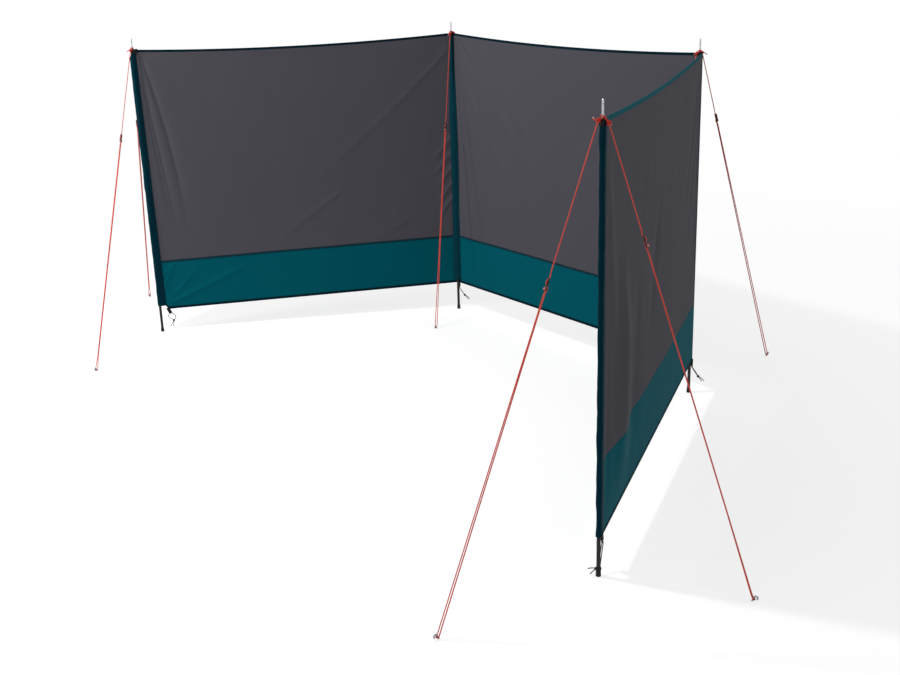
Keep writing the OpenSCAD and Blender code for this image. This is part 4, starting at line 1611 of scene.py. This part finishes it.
def make_tied_elastic():
    """Two strands from the tab, each once round the pole, with a knot and two tails."""
    place = END_FRAMES["right_end"]
    tab = Vector((TAB_X, 0, END_HEM - ELASTIC_GAP))
    lines = []
    for k, side in enumerate((-1, 1)):
        z = TIE_Z + k * TIE_PITCH
        start = tab + Vector((0, side * TIE_START, 0))
        near = Vector((TIE_R + TIE_NEAR.x, side * TIE_NEAR.y, z + TIE_NEAR.z))
        ring = [round_pole(TIE_R, side * a, z) for a in TIE_TURNS]
        lines.append(rounded_line([start, near] + ring, CORD_ROUND))
    for turn, fall in TIE_TAILS:
        fall = math.radians(fall)
        way = round_pole(math.cos(fall), math.radians(turn), -math.sin(fall))
        start = Vector((TIE_R * way.x, TIE_R * way.y, TIE_Z + TIE_TAIL_RISE))
        middle = start + way * TIE_TAIL / 2 + UP * TIE_TAIL_BOW
        lines.append(smooth_line([start, middle, start + way * TIE_TAIL], steps=4))
    centre = round_pole(TIE_R + TIE_KNOT_OUT, TIE_KNOT_TURN, TIE_Z + TIE_KNOT_RISE)
    lines.append(overhand(centre, TIE_KNOT, (0, 0, 1), ELASTIC_D))
    lines = [[place @ point for point in line] for line in lines]
    name = "right_end_elastic"
    piece(name + "_tie", cord_mesh(name, lines, ELASTIC_D), ELASTIC, [name])


make_tied_elastic()


# Floor and light

FLOOR_SIZE = 14.0
FLOOR_STEPS = 96
FLOOR_SHARE = 0.6
FLOOR_GLOW = 1.14
FLOOR_PALE = (0.9, 0.9, 0.9, 1)
FADE_START = 2.8  # from the middle of the floor, in metres
FADE_END = 4.8
WHITE = (1, 1, 1, 1)
KEY_PLACE = Vector((-0.9, -2.2, 4.65))
KEY_AIM = Vector((0, 0.2, 0.7))
KEY_POWER = 125
KEY_SIZE = 0.32
SIDE_PLACE = Vector((-2.1, -2.95, 1.9))
SIDE_AIM = Vector((-1.2, 0, 0.9))
SIDE_POWER = 42
SIDE_SIZE = 0.6
SOFT_LIGHT = 0.645


def seen_rays(tree):
    """One for the rays that the eye, a mirror or glass sends out, which see a white background."""
    rays = add_node(tree, "LightPath")
    seen = rays.outputs["Is Camera Ray"]
    for ray in ("Is Glossy Ray", "Is Transmission Ray"):
        either = add_node(tree, "Math", {0: seen, 1: rays.outputs[ray]}, operation="MAXIMUM")
        seen = either.outputs["Value"]
    return seen


def mix_shaders(tree, share, a, b):
    """A share of shader b, and the rest of shader a."""
    inputs = {"Fac": share, 1: a.outputs[0], 2: b.outputs[0]}
    return add_node(tree, "MixShader", inputs)


def make_floor():
    """A pale floor that takes the shadow and fades into the background."""
    bm = bmesh.new()
    bmesh.ops.create_circle(bm, cap_ends=True, radius=FLOOR_SIZE, segments=FLOOR_STEPS)
    mesh = bpy.data.meshes.new("floor")
    bm.to_mesh(mesh)
    bm.free()
    floor = bpy.data.objects.new("floor", mesh)
    bpy.context.scene.collection.objects.link(floor)
    material = bpy.data.materials.new("floor")
    material.use_nodes = True
    tree = material.node_tree
    tree.nodes.clear()
    pale = add_node(tree, "BsdfDiffuse", {"Color": FLOOR_PALE})
    glow = add_node(tree, "Emission", {"Strength": FLOOR_GLOW})
    glow_share = add_node(tree, "Math", {0: seen_rays(tree), 1: FLOOR_SHARE}, operation="MULTIPLY")
    even = mix_shaders(tree, glow_share.outputs["Value"], pale, glow)
    spot = add_node(tree, "TexCoord").outputs["Object"]
    reach = add_node(tree, "VectorMath", {0: spot}, operation="LENGTH").outputs["Value"]
    gone = add_node(tree, "MapRange", {"Value": reach, "From Min": FADE_START, "From Max": FADE_END})
    fade = mix_shaders(tree, gone.outputs["Result"], even, add_node(tree, "BsdfTransparent"))
    add_node(tree, "OutputMaterial", {"Surface": fade.outputs["Shader"]})
    mesh.materials.append(material)


def make_light(name, place, aim, power, size):
    """A round lamp that is turned to its aim."""
    data = bpy.data.lights.new(name, "AREA")
    data.shape = "DISK"
    data.size = size
    data.energy = power
    lamp = bpy.data.objects.new(name, data)
    turn = (aim - place).to_track_quat("-Z", "Y")
    lamp.matrix_world = Matrix.Translation(place) @ turn.to_matrix().to_4x4()
    bpy.context.scene.collection.objects.link(lamp)


def make_world():
    """Soft light from all round; straight to the eye it is plain white."""
    world = bpy.data.worlds.new("world")
    bpy.context.scene.world = world
    world.use_nodes = True
    tree = world.node_tree
    tree.nodes.clear()
    soft = add_node(tree, "Background", {"Color": WHITE, "Strength": SOFT_LIGHT})
    white = add_node(tree, "Background", {"Color": WHITE, "Strength": 1.0})
    mix = mix_shaders(tree, seen_rays(tree), soft, white)
    add_node(tree, "OutputWorld", {"Surface": mix.outputs["Shader"]})


make_floor()
make_light("key", KEY_PLACE, KEY_AIM, KEY_POWER, KEY_SIZE)
make_light("side", SIDE_PLACE, SIDE_AIM, SIDE_POWER, SIDE_SIZE)
make_world()
bpy.context.scene.view_settings.view_transform = "Standard"


# CAD pieces that show as they are

def show_node(node, material):
    """Gives a CAD node a material."""
    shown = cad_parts[node].data
    shown.materials.clear()
    shown.materials.append(material)


for pole in POLE_NAMES:
    show_node(pole + "_pole", POLE_PAINT)
    show_node(pole + "_spike", SPIKE_STEEL)
show_node("ground_pegs", PEG_STEEL)
